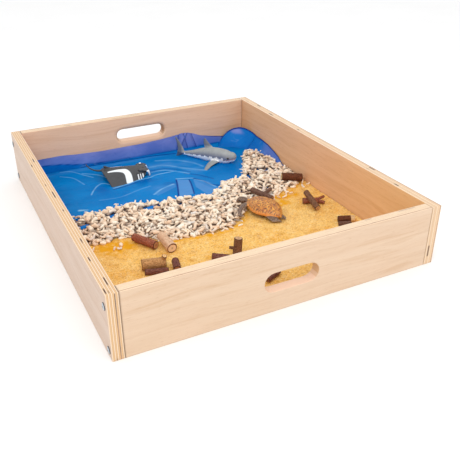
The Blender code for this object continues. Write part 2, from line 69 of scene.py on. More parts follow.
# Edges of the gravel band, evenly spaced from left to right, as in the CAD
GRAVEL_FAR = mm((125, 113, 120, 124, 104, 95, 80, 138, 162, 298, 318))
GRAVEL_NEAR = mm((-20, -52, -48, -98, -114, -122, -98, -18, -6, 10, 40))


def smooth_curve(values, share):
    last = len(values) - 1
    position = min(max(share, 0.0), 1.0) * last
    index = min(int(position), last - 1)
    t = position - index
    before = values[max(index - 1, 0)]
    here, after = values[index], values[index + 1]
    beyond = values[min(index + 2, last)]
    return 0.5 * (2 * here + (after - before) * t + (2 * before - 5 * here + 4 * after - beyond) * t ** 2
                  + (3 * here - before - 3 * after + beyond) * t ** 3)


def gravel_edge(edge, x):
    return smooth_curve(edge, (x + INNER_X) / (2 * INNER_X))


def blend(low, high, share):
    return low + (high - low) * share


def ease(value, low, high):
    t = min(max((value - low) / (high - low), 0.0), 1.0)
    return t * t * (3 - 2 * t)


def lumps(x, y, size, z=0.0):
    """Smooth noise from -1 to 1 with lumps of about size metres."""
    return noise.noise(Vector((x / size, y / size, z)))


def lumps_at(points, size, z, stretch=1.0):
    return np.array([lumps(float(x), float(y) * stretch, size, z) for x, y in points[:, :2]])


# ---------------------------------------------------------------- materials

def srgb(red, green, blue):
    """Linear colour from 8-bit display values."""
    def linear(value):
        value /= 255
        return value / 12.92 if value <= 0.04045 else ((value + 0.055) / 1.055) ** 2.4
    return tuple(linear(value) for value in (red, green, blue))


def shade(colour, *factors):
    """A colour times one factor, or one for each channel."""
    return tuple(value * factor for value, factor in zip(colour, factors * 3))


class Graph:
    """Builds the nodes of one procedural material."""

    def __init__(self, name):
        self.material = bpy.data.materials.new(name)
        self.material.use_nodes = True
        self.tree = self.material.node_tree
        self.tree.nodes.clear()
        coords = self.tree.nodes.new("ShaderNodeTexCoord")
        self.place, self.facing = coords.outputs["Object"], coords.outputs["Normal"]

    def node(self, kind, inputs, **settings):
        made = self.tree.nodes.new("ShaderNode" + kind)
        for key, value in settings.items():
            setattr(made, key, value)
        for key, value in inputs.items():
            socket = made.inputs[key]
            if isinstance(value, bpy.types.NodeSocket):
                self.tree.links.new(value, socket)
            elif socket.type == "RGBA" and len(value) == 3:
                socket.default_value = (*value, 1.0)
            else:
                socket.default_value = value
        return made

    def math(self, operation, a, b=0.0, clamp=False):
        return self.node("Math", {0: a, 1: b}, operation=operation, use_clamp=clamp).outputs[0]

    def times(self, a, b):
        return self.math("MULTIPLY", a, b)

    def apart(self, a, b=0.0):
        return self.math("ABSOLUTE", self.math("SUBTRACT", a, b))

    def split(self, vector):
        return self.node("SeparateXYZ", {0: vector}).outputs

    def stretched(self, scale, vector=None):
        """Texture place and scale from one scale, or from one for each axis."""
        vector = self.place if vector is None else vector
        if not isinstance(scale, tuple):
            return {"Vector": vector, "Scale": scale}
        vector = self.node("VectorMath", {0: vector, 1: scale}, operation="MULTIPLY").outputs[0]
        return {"Vector": vector, "Scale": 1.0}

    def noise(self, scale, detail, roughness, distortion=0.0, vector=None):
        look = {"Detail": detail, "Roughness": roughness, "Distortion": distortion}
        return self.node("TexNoise", self.stretched(scale, vector) | look).outputs["Fac"]

    def cells(self, scale, output="Distance", feature="F1"):
        return self.node("TexVoronoi", self.stretched(scale), feature=feature).outputs[output]

    def attribute(self, name):
        return self.node("Attribute", {}, attribute_name=name).outputs["Fac"]

    def ramp(self, value, *stops):
        """Grey or colour ramp through (position, colour or grey) stops."""
        made = self.node("ValToRGB", {0: value})
        elements = made.color_ramp.elements
        while len(elements) < len(stops):
            elements.new(0.5)
        for element, (position, colour) in zip(elements, stops):
            element.position = position
            element.color = (colour, colour, colour, 1.0) if isinstance(colour, float) else (*colour, 1.0)
        return made.outputs["Color"]

    def mix(self, share, a, b, kind="MIX"):
        return self.node("Mix", {0: share, 6: a, 7: b}, data_type="RGBA", blend_type=kind).outputs[2]

    def layers(self, colour, *rows):
        """Lays 8-bit tones over a colour; a row is a mask or attribute, any ramp stops, and the tone."""
        for mask, *stops, tone in rows:
            mask = self.attribute(mask) if isinstance(mask, str) else mask
            colour = self.mix(self.ramp(mask, stops[:2], stops[2:]) if stops else mask, colour, srgb(*tone))
        return colour

    def surface(self, colour, roughness, bumps=(), **more):
        """Principled surface; bumps are (height, distance in metres) pairs."""
        inputs = {"Base Color": colour, "Roughness": roughness}
        inputs |= {key.replace("_", " "): value for key, value in more.items()}
        under = {}
        for height, distance in bumps:
            bump = self.node("Bump", {"Height": height, "Distance": distance, "Strength": 1.0} | under)
            under = {"Normal": bump.outputs[0]}
        return self.node("BsdfPrincipled", inputs | under).outputs[0]

    def finish(self, surface):
        output = self.tree.nodes.new("ShaderNodeOutputMaterial")
        self.tree.links.new(surface, output.inputs["Surface"])
        return self.material


PLAIN = (1.0, 1.0, 1.0)


def plywood_material(name, length_axis, thick_axis, outer, inner, veneer, inner_bounce_veneer, edge_contrast, seed,
                     ply_count=9, end_void=0.0, hole_shade_tone=(0, 0, 0)):
    """Birch plywood: streaked veneer on the faces, layered plies with glue lines and voids on the edges."""
    graph = Graph(name)
    times, ramp, mix = graph.times, graph.ramp, graph.mix
    axes, facing = graph.split(graph.place), graph.split(graph.facing)
    along, across, height = axes[length_axis], axes[thick_axis], axes[2]
    veneer, inner_bounce_veneer = srgb(*veneer), srgb(*inner_bounce_veneer)

    def strand(x, y, z, detail, roughness, distortion=0.0):
        vector = graph.node("CombineXYZ", {0: x, 1: y, 2: z}).outputs[0]
        return graph.noise(1.0, detail, roughness, distortion, vector)

    fine = strand(times(along, 7.0), times(across, 60.0), graph.math("MULTIPLY_ADD", height, 260.0), 5.0,
                  0.65)
    warp = strand(times(along, 3.0), seed, times(height, 9.0), 2.0, 0.5)
    lifted = graph.math("ADD", height, times(warp, 0.045))
    broad = strand(times(along, 1.3), seed, times(lifted, 52.0), 3.0, 0.55)
    flecks = strand(times(along, 55.0), times(across, 500.0), times(height, 620.0), 1.0, 0.5)
    flame = strand(times(along, 7.0), seed, times(lifted, 120.0), 3.0, 0.6, 0.5)
    cloud = graph.noise(5.0, 2.0, 0.5)
    inward = times(facing[thick_axis], 1.0 if inner > outer else -1.0)
    inside_face = graph.math("GREATER_THAN", inward, 0.3)
    # The inner faces take their own lighter, warmer veneer tone: painted warm bounce light
    face = mix(inside_face, veneer, inner_bounce_veneer)
    for mask, start, end, first_tint, last_tint in (
            (broad, (0.36, 0.0), (0.66, 0.75), PLAIN, (0.93, 0.88, 0.83)),
            (flame, (0.50, 0.0), (0.66, 1.0), PLAIN, (0.94, 0.90, 0.85)),
            (fine, (0.42, 0.0), (0.70, 0.55), (0.97, 0.96, 0.95), (1.04, 1.05, 1.06)),
            (flecks, (0.64, 0.0), (0.72, 0.5), PLAIN, (0.80, 0.70, 0.60)),
            (cloud, (0.35, 0.0), (0.7, 1.0), (0.98, 0.98, 0.97), (1.01, 1.01, 1.02))):
        face = mix(1.0, face, mix(ramp(mask, start, end), first_tint, last_tint), "MULTIPLY")
    # The plies, their glue lines and the dark voids in the inner ones
    wander = strand(times(along, 11.0), seed, times(height, 11.0), 3.0, 0.6)
    layer = graph.math("DIVIDE", graph.math("SUBTRACT", across, outer), inner - outer)
    layer = graph.math("ADD", layer, times(graph.math("SUBTRACT", wander, 0.5), 0.022))
    light = srgb(236, 211, 180)
    brown, glue = ([blend(a, b, edge_contrast) for a, b in zip(light, dark)]
                   for dark in (srgb(222, 182, 134), srgb(158, 106, 64)))
    stops = [(0.0, light)]
    for index in range(ply_count):
        colour = brown if index % 2 else light
        stops += [((index + 0.14) / ply_count, colour), ((index + 0.86) / ply_count, colour)]
        if index < ply_count - 1:
            stops.append(((index + 1.0) / ply_count, glue))
    pores = graph.noise((900.0, 900.0, 900.0), 2.0, 0.6)
    plies = graph.layers(ramp(layer, *stops), (pores, 0.45, 0.0, 0.75, 0.30, (170, 118, 74)))
    ply = times(layer, float(ply_count))
    index_of = graph.math("FLOOR", ply)
    middle = graph.math("LESS_THAN", graph.apart(graph.math("FRACT", ply), 0.5), 0.42)
    is_dark = times(graph.math("PINGPONG", index_of, 1.0), middle)
    gaps = strand(times(along, 16.0), times(index_of, 5.7 + seed), times(height, 16.0), 1.0, 0.4)
    void = times(times(ramp(gaps, (0.67, 0.0), (0.70, 1.0)), is_dark), min(1.0, 0.25 + edge_contrast))
    plies = graph.layers(plies, (void, (72, 40, 22)))
    if end_void:
        at_end = graph.math("GREATER_THAN", graph.math("ABSOLUTE", facing[1]), 0.7)
        split_line = times(ramp(graph.apart(layer, 0.71), (0.012, 1.0), (0.042, 0.0)), at_end)
        split_tone = mix(ramp(wander, (0.50, 0.0), (0.62, 1.0)), srgb(150, 96, 62), srgb(44, 26, 18))
        plies = mix(times(split_line, end_void), plies, split_tone)
    if edge_contrast < 0.6:
        line = ramp(graph.apart(layer, 0.125), (0.012, 1.0), (0.045, 0.0))
        broken = times(line, ramp(gaps, (0.30, 0.45), (0.55, 1.0)))
        streaks = strand(times(along, 24.0), times(across, 420.0), seed, 3.0, 0.6)
        plies = graph.layers(plies, (broken, (142, 74, 52)),
                             (streaks, 0.52, 0.0, 0.70, 0.45, (196, 160, 130)))
    edge = ramp(graph.math("ABSOLUTE", facing[thick_axis]), (0.62, 1.0), (0.80, 0.0))
    colour = mix(edge, face, plies)
    if length_axis == 1:
        # Painted cool bounce light from the blue sheet: a cooler, pinker tone towards the back of the inner
        # face
        share = graph.math("ADD", graph.math("MULTIPLY_ADD", along, 1.1), 0.5)
        far = times(ramp(share, (0.50, 0.0), (0.95, 1.0)), inside_face)
        colour = mix(far, colour, mix(1.0, colour, (1.0, 0.97, 1.18), "MULTIPLY"))
    else:
        # The cut inside of the hand hole, in painted shade with its upward-facing edge lit, and painted shade
        # where the panel meets the side panels
        inside_hole = times(edge, graph.math("LESS_THAN", height, 0.125))
        inside_hole = times(inside_hole, graph.math("GREATER_THAN", height, 0.02))
        lit_lip = ramp(facing[2], (0.35, 0.0), (0.85, 1.0))
        colour = mix(inside_hole, colour, mix(lit_lip, srgb(*hole_shade_tone), inner_bounce_veneer))
        # Painted shade: the panel ends darken where they meet the side panels
        joint_shade = ramp(graph.math("ABSOLUTE", along), (INNER_X - 0.0016, 0.0), (INNER_X - 0.0008, 0.9))
        colour = graph.layers(colour, (joint_shade, (84, 50, 34)))
    return graph.finish(graph.surface(colour, ramp(fine, (0.2, 0.46), (0.8, 0.62)),
                                      [(fine, 0.00025), (times(void, -1.0), 0.0008)],
                                      Coat_Weight=0.12, Coat_Roughness=0.25))


def steel_material():
    graph = Graph("zinc_steel")
    patches = graph.noise(260.0, 4.0, 0.6)
    scratches = graph.noise((900.0, 2600.0, 900.0), 2.0, 0.5)
    colour = graph.mix(graph.ramp(patches, (0.35, 0.0), (0.7, 1.0)), (0.48, 0.52, 0.56), (0.72, 0.75, 0.78))
    # Painted shade: the cross recess and a ring round the foot of the head turn nearly black
    outward = graph.math("ABSOLUTE", graph.split(graph.place)[0])
    recess_shade = graph.math("MULTIPLY", graph.math("SUBTRACT", 0.3770, outward), 900.0, True)
    colour = graph.mix(recess_shade, colour, (0.03, 0.035, 0.045))
    return graph.finish(graph.surface(colour, graph.ramp(scratches, (0.3, 0.30), (0.7, 0.50)),
                                      [(scratches, 0.00004)], Metallic=0.85))


def sand_material():
    graph = Graph("play_sand")
    grain_tone = graph.split(graph.cells(620.0, "Color"))[0]
    drift, patch = graph.noise(30.0, 4.0, 0.6), graph.noise(7.0, 2.0, 0.5)
    fine, coarse = graph.noise(420.0, 3.0, 0.7), graph.noise(190.0, 3.0, 0.7)
    colour = graph.layers(
        srgb(255, 208, 118),
        (drift, 0.36, 0.0, 0.64, 1.0, (250, 190, 84)),
        (patch, 0.4, 0.0, 0.7, 0.5, (255, 216, 140)),
        # Painted shade in the hollows and painted highlights on the crests of the lumps
        ("hollow", (206, 140, 54)),
        ("crest", (255, 220, 156)),
        (coarse, 0.52, 0.0, 0.68, 0.70, (204, 138, 52)),
        (coarse, 0.28, 0.45, 0.42, 0.0, (255, 228, 170)),
        (grain_tone, 0.0, 0.55, 0.20, 0.0, (176, 112, 48)),
        (grain_tone, 0.82, 0.0, 1.0, 0.60, (255, 240, 200)),
        (fine, 0.52, 0.0, 0.72, 0.30, (196, 132, 62)),
        ("damp", (236, 166, 8)))
    bumps = [(coarse, 0.0022), (fine, 0.0010), (graph.cells(620.0), 0.0008)]
    return graph.finish(graph.surface(colour, 0.92, bumps, Specular_IOR_Level=0.25))


def gravel_material():
    graph = Graph("coral_gravel")
    warm, pores, stain = graph.attribute("warm"), graph.cells(620.0), graph.noise(150.0, 4.0, 0.65)
    colour = graph.ramp(graph.attribute("tone"), (0.0, srgb(160, 142, 130)), (0.10, srgb(222, 196, 170)),
                        (0.35, srgb(246, 222, 196)), (0.7, srgb(255, 238, 214)), (1.0, srgb(255, 250, 236)))
    colour = graph.layers(
        colour,
        (warm, 0.60, 0.0, 1.0, 0.50, (232, 184, 144)),
        (warm, 0.0, 0.40, 0.14, 0.0, (190, 194, 210)),
        (stain, 0.50, 0.0, 0.74, 0.45, (206, 164, 128)),
        (pores, 0.0, 0.35, 0.30, 0.0, (136, 106, 82)),
        # Painted shade: fragments lower in the heap darken
        (graph.times(graph.attribute("depth"), 0.80), (118, 80, 56)))
    return graph.finish(graph.surface(colour, graph.ramp(stain, (0.3, 0.62), (0.7, 0.9)),
                                      [(stain, 0.0010), (pores, 0.0005)], Specular_IOR_Level=0.3))


def liner_material():
    graph = Graph("blue_vinyl_sheet")
    crease = graph.noise((30.0, 30.0, 40.0), 3.0, 0.55, 1.0)
    wide = graph.noise((9.0, 9.0, 14.0), 3.0, 0.5, 0.6)
    wet_blue = graph.layers(srgb(2, 100, 184), (wide, 0.35, 0.0, 0.68, 1.0, (4, 116, 200)))
    # The sheet above the water: a paler lilac, partly painted sheen
    dry_sheen_blue = graph.layers(srgb(100, 122, 198), (wide, 0.35, 0.0, 0.70, 1.0, (138, 150, 216)))
    colour = graph.layers(
        graph.mix(graph.attribute("dry"), wet_blue, dry_sheen_blue),
        # Painted highlights and painted shade of the creases
        (crease, 0.60, 0.0, 0.84, 0.30, (150, 174, 226)),
        (crease, 0.20, 0.30, 0.38, 0.0, (20, 78, 166)),
        # Painted shade in the folds and along the hood's top edge
        ("fold", (10, 48, 136)))
    return graph.finish(graph.surface(colour, graph.ramp(crease, (0.3, 0.24), (0.7, 0.36)),
                                      [(wide, 0.0012), (crease, 0.0002)], Specular_IOR_Level=0.08))


def water_material():
    """Clear water over the creased blue sheet: mostly the sheet's blue, a little see-through."""
    graph = Graph("shallow_water")
    swirl = graph.noise((5.5, 9.0, 1.0), 3.0, 0.5, 1.6)
    bands = graph.noise((13.0, 30.0, 1.0), 3.0, 0.5, 2.0)
    ripples = graph.noise((40.0, 70.0, 1.0), 3.0, 0.5, 0.8)
    colour = graph.layers(
        srgb(2, 120, 196),
        (swirl, 0.34, 0.0, 0.66, 1.0, (4, 134, 210)),
        (bands, 0.58, 0.0, 0.76, 0.35, (30, 140, 210)),
        (bands, 0.24, 0.5, 0.40, 0.0, (2, 94, 172)),
        # Painted reflections, then darker blue places
        ("sheen", (104, 160, 220)),
        ("deep", (4, 78, 164)),
        # Painted shade along the creases, then painted highlights along the light lines
        ("crease", (4, 52, 136)),
        ("line", (150, 208, 244)))
    body = graph.surface(colour, graph.ramp(ripples, (0.3, 0.07), (0.7, 0.14)),
                         [(bands, 0.0018), (ripples, 0.0004)], Specular_IOR_Level=0.03)
    clear = graph.node("BsdfTransparent", {"Color": (0.10, 0.55, 0.90, 1.0)}).outputs[0]
    return graph.finish(graph.node("MixShader", {0: 0.86, 1: clear, 2: body}).outputs[0])


def painted_toy(name, base, roughness, pit_scale, pit_depth, *paints, coat=0.25):
    """Moulded plastic whose base colour is overlaid by painted areas, each a point attribute and a colour."""
    graph = Graph(name)
    mottle = graph.noise(130.0, 4.0, 0.6)
    colour = graph.mix(graph.ramp(mottle, (0.4, 0.0), (0.7, 0.8)), srgb(*base), shade(srgb(*base), 0.80))
    colour = graph.layers(colour, *paints)
    gloss = graph.ramp(mottle, (0.3, roughness - 0.06), (0.7, roughness + 0.08))
    pits = graph.noise(pit_scale, 3.0, 0.6)
    return graph.finish(graph.surface(colour, gloss, [(pits, pit_depth)], Coat_Weight=coat,
                                      Coat_Roughness=0.2))


def turtle_material():
    graph = Graph("turtle_plastic")
    streak = graph.attribute("streak")
    mottle, blotch = graph.noise(210.0, 4.0, 0.6), graph.noise(78.0, 3.0, 0.6)
    scales = graph.cells(330.0, "Distance", "DISTANCE_TO_EDGE")
    top = graph.layers(
        srgb(214, 142, 50),
        (mottle, 0.38, 0.0, 0.68, 1.0, (180, 98, 32)),
        (blotch, 0.50, 0.0, 0.64, 0.60, (132, 70, 30)),
        (blotch, 0.34, 0.60, 0.46, 0.0, (240, 176, 70)),
        (graph.times(streak, graph.ramp(mottle, (0.35, 0.60), (0.6, 1.0))), (84, 42, 18)),
        ("seam", (238, 184, 92)),
        ("rim", (226, 140, 50)))
    skin = graph.layers(
        srgb(132, 98, 74),
        (scales, 0.02, 0.0, 0.14, 1.0, (60, 40, 30)),
        (mottle, 0.52, 0.0, 0.64, 0.6, (170, 136, 104)),
        (graph.times(graph.attribute("light"), 0.2), (160, 134, 100)))
    return graph.finish(graph.surface(graph.mix(graph.attribute("shell"), skin, top),
                                      graph.ramp(mottle, (0.3, 0.34), (0.7, 0.5)),
                                      [(streak, 0.0003), (scales, 0.0004)], Coat_Weight=0.3,
                                      Coat_Roughness=0.22))


def bark_material(name, dark, light, lichen, scale, end_tone, rim_tone=(0.045, 0.018, 0.010)):
    """Bark round a stem along the piece's own Z, and sawn ends with growth rings and a dark bark ring."""
    graph = Graph(name + "_bark")
    dark, end_tone = srgb(*dark), srgb(*end_tone)
    x, y = graph.split(graph.place)[:2]
    ridges = graph.noise((scale, scale, scale * 0.6), 5.0, 0.68, 0.6)
    flakes = graph.cells((scale * 0.8, scale * 0.8, scale * 0.7))
    fine = graph.noise(700.0, 3.0, 0.6)
    bark = graph.layers(dark, (ridges, 0.34, 0.0, 0.66, 1.0, light))
    bark = graph.mix(graph.ramp(flakes, (0.0, 0.5), (0.35, 0.0)), bark, shade(dark, 0.45))
    bark = graph.layers(bark, (fine, 0.56, 0.0, 0.72, 0.8, lichen))
    radius = graph.math("SQRT", graph.math("ADD", graph.times(x, x), graph.times(y, y)))
    wobble = graph.times(graph.noise(110.0, 2.0, 0.5), 0.0022)
    rings = graph.math("SINE", graph.times(graph.math("ADD", radius, wobble), 4600.0))
    wood = end_tone
    for mask, start, end, factors in ((rings, (0.0, 0.0), (1.0, 0.55), (0.72, 0.6, 0.5)),
                                      (radius, (0.0, 0.9), (0.0016, 0.0), (0.35,)),
                                      (fine, (0.5, 0.0), (0.75, 0.35), (0.5,))):
        wood = graph.mix(graph.ramp(mask, start, end), wood, shade(end_tone, *factors))
    cut = graph.attribute("cut")
    colour = graph.mix(cut, graph.mix(graph.attribute("rim"), bark, rim_tone), wood)
    bump = graph.times(ridges, graph.math("SUBTRACT", 1.0, cut))
    return graph.finish(graph.surface(colour, graph.ramp(ridges, (0.3, 0.9), (0.7, 0.7)),
                                      [(bump, 0.0016), (fine, 0.0003)], Specular_IOR_Level=0.25))


# ---------------------------------------------------------------- mesh helpers

def wrap(mesh, name, material, matrix=None):
    obj = bpy.data.objects.new(name, mesh)
    bpy.context.scene.collection.objects.link(obj)
    mesh.materials.clear()
    mesh.materials.append(material)
    mesh.shade_smooth()
    if matrix is not None:
        obj.matrix_world = matrix
    return obj


def object_from(bm, name, material, matrix=None):
    bmesh.ops.recalc_face_normals(bm, faces=bm.faces)
    mesh = bpy.data.meshes.new(name)
    bm.to_mesh(mesh)
    bm.free()
    return wrap(mesh, name, material, matrix)


def points_of(mesh):
    flat = np.zeros(len(mesh.vertices) * 3, np.float32)
    mesh.vertices.foreach_get("co", flat)
    return flat.reshape(-1, 3)


def paint(mesh, **areas):
    """Stores one value per vertex for each area that the material reads."""
    for name, values in areas.items():
        attribute = mesh.attributes.get(name) or mesh.attributes.new(name, "FLOAT", "POINT")
        attribute.data.foreach_set("value", np.clip(np.asarray(values, np.float32), 0.0, 1.0))


def bump_at(distance, width, power=2):
    """1 at no distance, falling off over width metres."""
    return np.exp(-(distance / width) ** power)


def fade(value, width, middle=0.0):
    """0 to 1 as a value rises past zero over width metres."""
    return np.clip(value / width + middle, 0, 1)


def path_distance(points, path):
    """Plan distance of each point from a path of (x, y) points."""
    best = np.full(len(points), 1e9)
    for start, end in zip(path, path[1:]):
        start, end = np.array(start), np.array(end)
        along = end - start
        share = np.clip(((points[:, :2] - start) @ along) / (along @ along), 0, 1)
        best = np.minimum(best, np.linalg.norm(points[:, :2] - start - share[:, None] * along, axis=1))
    return best


def smooth_path(path, steps=8):
    """A rounder path through (x, y) points."""
    count = (len(path) - 1) * steps
    return [[smooth_curve(axis, i / count) for axis in zip(*path)] for i in range(count + 1)]


def toy_from(bm, name, material, place, turn, voxel, smoothing):
    """Fuses a toy's overlapping shells into one skin, smooths it and sets the toy in its place."""
    obj = object_from(bm, name, material, toy_matrix(place, turn))
    remesh = obj.modifiers.new("fuse", "REMESH")
    remesh.mode = "VOXEL"
    remesh.voxel_size = voxel
    soften = obj.modifiers.new("soften", "SMOOTH")
    soften.factor = 0.5
    soften.iterations = smoothing
    mesh = bpy.data.meshes.new_from_object(obj.evaluated_get(bpy.context.evaluated_depsgraph_get()))
    matrix = obj.matrix_world.copy()
    bpy.data.objects.remove(obj)
    mesh.name = name
    return wrap(mesh, name, material, matrix)


def seat(obj, body, slot, *nodes):
    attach(obj, body)
    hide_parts(*nodes)


def bridge(bm, ring, following):
    """Joins two closed rings of the same count."""
    count = len(ring)
    for k in range(count):
        bm.faces.new((ring[k], ring[(k + 1) % count], following[(k + 1) % count], following[k]))


def add_slab(bm, columns, rows, surface):
    """Adds a closed slab over a grid; surface(u, v, lower) gives its two surfaces."""
    upper, lower = ([[bm.verts.new(surface(i / columns, j / rows, under)) for i in range(columns + 1)]
                     for j in range(rows + 1)] for under in (False, True))
    for j in range(rows):
        for i in range(columns):
            bm.faces.new((upper[j][i], upper[j][i + 1], upper[j + 1][i + 1], upper[j + 1][i]))
            bm.faces.new((lower[j][i], lower[j + 1][i], lower[j + 1][i + 1], lower[j][i + 1]))
    border = [(j, 0) for j in range(rows)] + [(rows, i) for i in range(columns)]
    border += [(j, columns) for j in range(rows, 0, -1)] + [(0, i) for i in range(columns, 0, -1)]
    for (j, i), (l, k) in zip(border, border[1:] + border[:1]):
        bm.faces.new((upper[j][i], lower[j][i], lower[l][k], upper[l][k]))


def add_fin(bm, *row):
    """Adds a tapered fin with a rounded section: front and back of its root, front and back of its tip, both
    thicknesses, and the bend of its middle, all in millimetres."""
    *corners, thick_root, thick_tip, bend = mm(row)
    root_front, root_back, tip_front, tip_back = map(Vector, corners)
    across = (tip_front - root_front).cross(root_back - root_front).normalized()
    bend = Vector(bend)

    def side(u, v, lower):
        middle = root_front.lerp(root_back, v).lerp(tip_front.lerp(tip_back, v), u)
        swell = math.sin(math.pi * v) ** 0.7 if 0 < v < 1 else 0.0
        thick = blend(thick_root, thick_tip, u) * (0.12 + 0.88 * swell)
        return middle + bend * math.sin(math.pi * u) + across * (-1 if lower else 1) * thick / 2

    add_slab(bm, 12, 10, side)


def add_ball(bm, centre, radii, turn=0.0, segments=28, rings=18):
    place = Matrix.Translation(centre) @ Matrix.Rotation(turn, 4, "Z") @ Matrix.Diagonal((*radii, 1.0))
    bmesh.ops.create_uvsphere(bm, u_segments=segments, v_segments=rings, radius=1.0, matrix=place)


def add_tube(bm, stations, segments):
    """Adds a round tube with closed ends through stations of x, y, z and radius in millimetres."""
    stations = mm(stations)
    rings = []
    for index, (*point, radius) in enumerate(stations):
        before = Vector(stations[max(index - 1, 0)][:3])
        after = Vector(stations[min(index + 1, len(stations) - 1)][:3])
        turn = (after - before).to_track_quat("Z", "Y").to_matrix()
        angles = [2 * math.pi * k / segments for k in range(segments)]
        offsets = [Vector((radius * math.cos(a), radius * math.sin(a), 0)) for a in angles]
        rings.append([bm.verts.new(Vector(point) + turn @ offset) for offset in offsets])
    for ring, following in zip(rings, rings[1:]):
        bridge(bm, ring, following)
    bm.faces.new(rings[0][::-1])
    bm.faces.new(rings[-1])


# ---------------------------------------------------------------- sand

# Wet patches: centre and size in millimetres
DAMP_SPOTS = mm(((-262, -75, 35), (-225, -85, 22), (232, -24, 18), (250, -20, 16), (274, -26, 13),
                 (227, -52, 14), (207, -58, 12)))


def build_sand():
    front = INNER_FRONT + WALL_CLEAR
    half = INNER_X - WALL_CLEAR

    def surface(u, v, lower):
        x = blend(-half, half, u)
        far = gravel_edge(GRAVEL_NEAR, x) + 0.016 + 0.004 * lumps(x, 0.0, 0.02)
        y = blend(front, far, v)
        if lower:
            return Vector((x, y, FLOOR))
        z = SAND_TOP + 0.0012 * lumps(x, y, 0.055) + 0.0020 * lumps(x, y * 1.4, 0.024, 3.0)
        z += 0.0012 * lumps(x, y, 0.010, 7.0) + 0.0006 * lumps(x, y, 0.0048, 9.0)
        z -= 0.0028 * ease(y, far - 0.022, far)
        wall = min(half - abs(x), y - front)
        z += 0.0012 * (1 - ease(wall, 0.0, 0.02)) * (0.6 + lumps(x, y, 0.05, 5.0))
        return Vector((x, y, max(z, FLOOR + 0.0008)))

    bm = bmesh.new()
    add_slab(bm, 280, 180, surface)
    sand = object_from(bm, "sand", sand_material())
    points = points_of(sand.data)
    edge = np.array([gravel_edge(GRAVEL_NEAR, float(x)) for x in points[:, 0]])
    damp = 0.36 * bump_at(points[:, 1] - edge + 0.006, 0.012)
    for x, y, size in DAMP_SPOTS:
        damp = np.maximum(damp, bump_at(np.hypot(points[:, 0] - x, points[:, 1] - y), size) * 0.75)
    speckle = 0.55 + 0.9 * lumps_at(points, 0.012, 2.0)
    # Painted light from the lumps: shade in the hollows, highlights on the crests
    waves = lumps_at(points, 0.021, 3.0) + 0.7 * lumps_at(points, 0.010, 7.0)
    paint(sand.data, damp=np.clip(damp * speckle * 2.9, 0, 0.96), hollow=(-waves - 0.15) * 0.75,
          crest=(waves - 0.22) * 0.80)
    seat(sand, "tray", "sand", "sand_layer")


# ---------------------------------------------------------------- coral gravel

# Places where the blue sheet shows between the fragments: centre and half sizes
BARE_SPOTS = mm(((-300, 92, 16, 10), (-292, 50, 20, 12), (-118, 70, 26, 14), (-215, 74, 20, 10),
                 (262, 162, 22, 9), (278, 150, 16, 8), (218, 135, 12, 9), (-30, 55, 12, 8)))
# Fragments lying on their own, on the sand or in the water
STRAYS = mm(((-254, -86), (-130, -118), (236, -8), (252, 6), (300, 18), (335, 28), (345, 12), (-262, 124),
             (-180, 134), (176, -18), (205, -30), (60, -118), (-20, 108), (322, 6), (186, -34), (214, -16),
             (-244, -94), (-236, -78), (-300, -70), (252, -20), (268, -16), (240, -30), (262, -4),
             (226, -26)))


def coral_shapes(rng):
    """Knobbly rods, forked bits and short chunks of half length one."""
    shapes = []
    for index in range(18):
        bm = bmesh.new()
        bmesh.ops.create_icosphere(bm, subdivisions=2, radius=1.0)
        chunk = index % 6 == 0
        thick = rng.uniform(0.50, 0.62) if chunk else rng.uniform(0.27, 0.38)
        bend = 0.0 if chunk else rng.uniform(-0.35, 0.35)
        knob_place, knob_angle = rng.uniform(-0.5, 0.5), rng.uniform(0, 2 * math.pi)
        knob_size = rng.choice((0.0, 0.25, 0.55, 0.95))
        offset = Vector((rng.uniform(-9, 9), rng.uniform(-9, 9), rng.uniform(-9, 9)))
        for vert in bm.verts:
            x, y, z = vert.co
            angle = math.atan2(z, y)
            out = thick * max(math.hypot(y, z), 1e-6) ** 0.38
            out *= 1 + 0.22 * noise.noise(vert.co * 1.7 + offset) + 0.14 * math.cos(x * 5 + offset.x)
            near = math.exp(-((x - knob_place) / 0.30) ** 2) * max(math.cos(angle - knob_angle), 0.0) ** 3
            out += thick * knob_size * near
            vert.co = Vector((x, out * math.cos(angle) + bend * x * x, out * math.sin(angle)))
        shapes.append((np.array([vert.co for vert in bm.verts]),
                       np.array([[vert.index for vert in face.verts] for face in bm.faces])))
        bm.free()
    return shapes


def heap_inside(x, y):
    """Distance of a place from the ragged edge of the gravel band, positive inside."""
    inset = min(y - gravel_edge(GRAVEL_NEAR, x), gravel_edge(GRAVEL_FAR, x) - y)
    return inset + 0.008 * lumps(x, y, 0.016, 4.0)


def gravel_pieces(rng):
    """Place, height and half length of every fragment: a full lower layer, heaped upper layers and strays."""
    pieces = []

    def lay(spacing, depth, height, spread, chance, size_low, size_high):
        y = -0.14
        while y < 0.36:
            x = -INNER_X + 0.006
            while x < INNER_X - 0.006:
                px, py = x + rng.uniform(-0.5, 0.5) * spacing, y + rng.uniform(-0.5, 0.5) * spacing
                size = rng.uniform(size_low, size_high)
                bare = any(((px - bx) / bw) ** 2 + ((py - by) / bd) ** 2 < 1 for bx, by, bw, bd in BARE_SPOTS)
                keep = heap_inside(px, py) > depth and rng.random() < chance
                if keep and not bare and abs(px) < INNER_X - size * 0.8:
                    pieces.append((px, py, height + rng.uniform(-1, 1) * spread, size))
                x += spacing
            y += spacing * 0.87

    low = LINER_TOP + 0.0032
    lay(0.0114, 0.0000, low, 0.0006, 0.97, 0.0068, 0.0094)
    lay(0.0122, 0.0060, low + 0.0046, 0.0014, 0.92, 0.0074, 0.0108)
    lay(0.0138, 0.0160, low + 0.0088, 0.0016, 0.72, 0.0078, 0.0116)
    for x, y in STRAYS:
        on_sand = y < gravel_edge(GRAVEL_NEAR, x)
        pieces.append((x, y, SAND_TOP + 0.0030 if on_sand else WATER_TOP - 0.001, 0.0072))
    return pieces


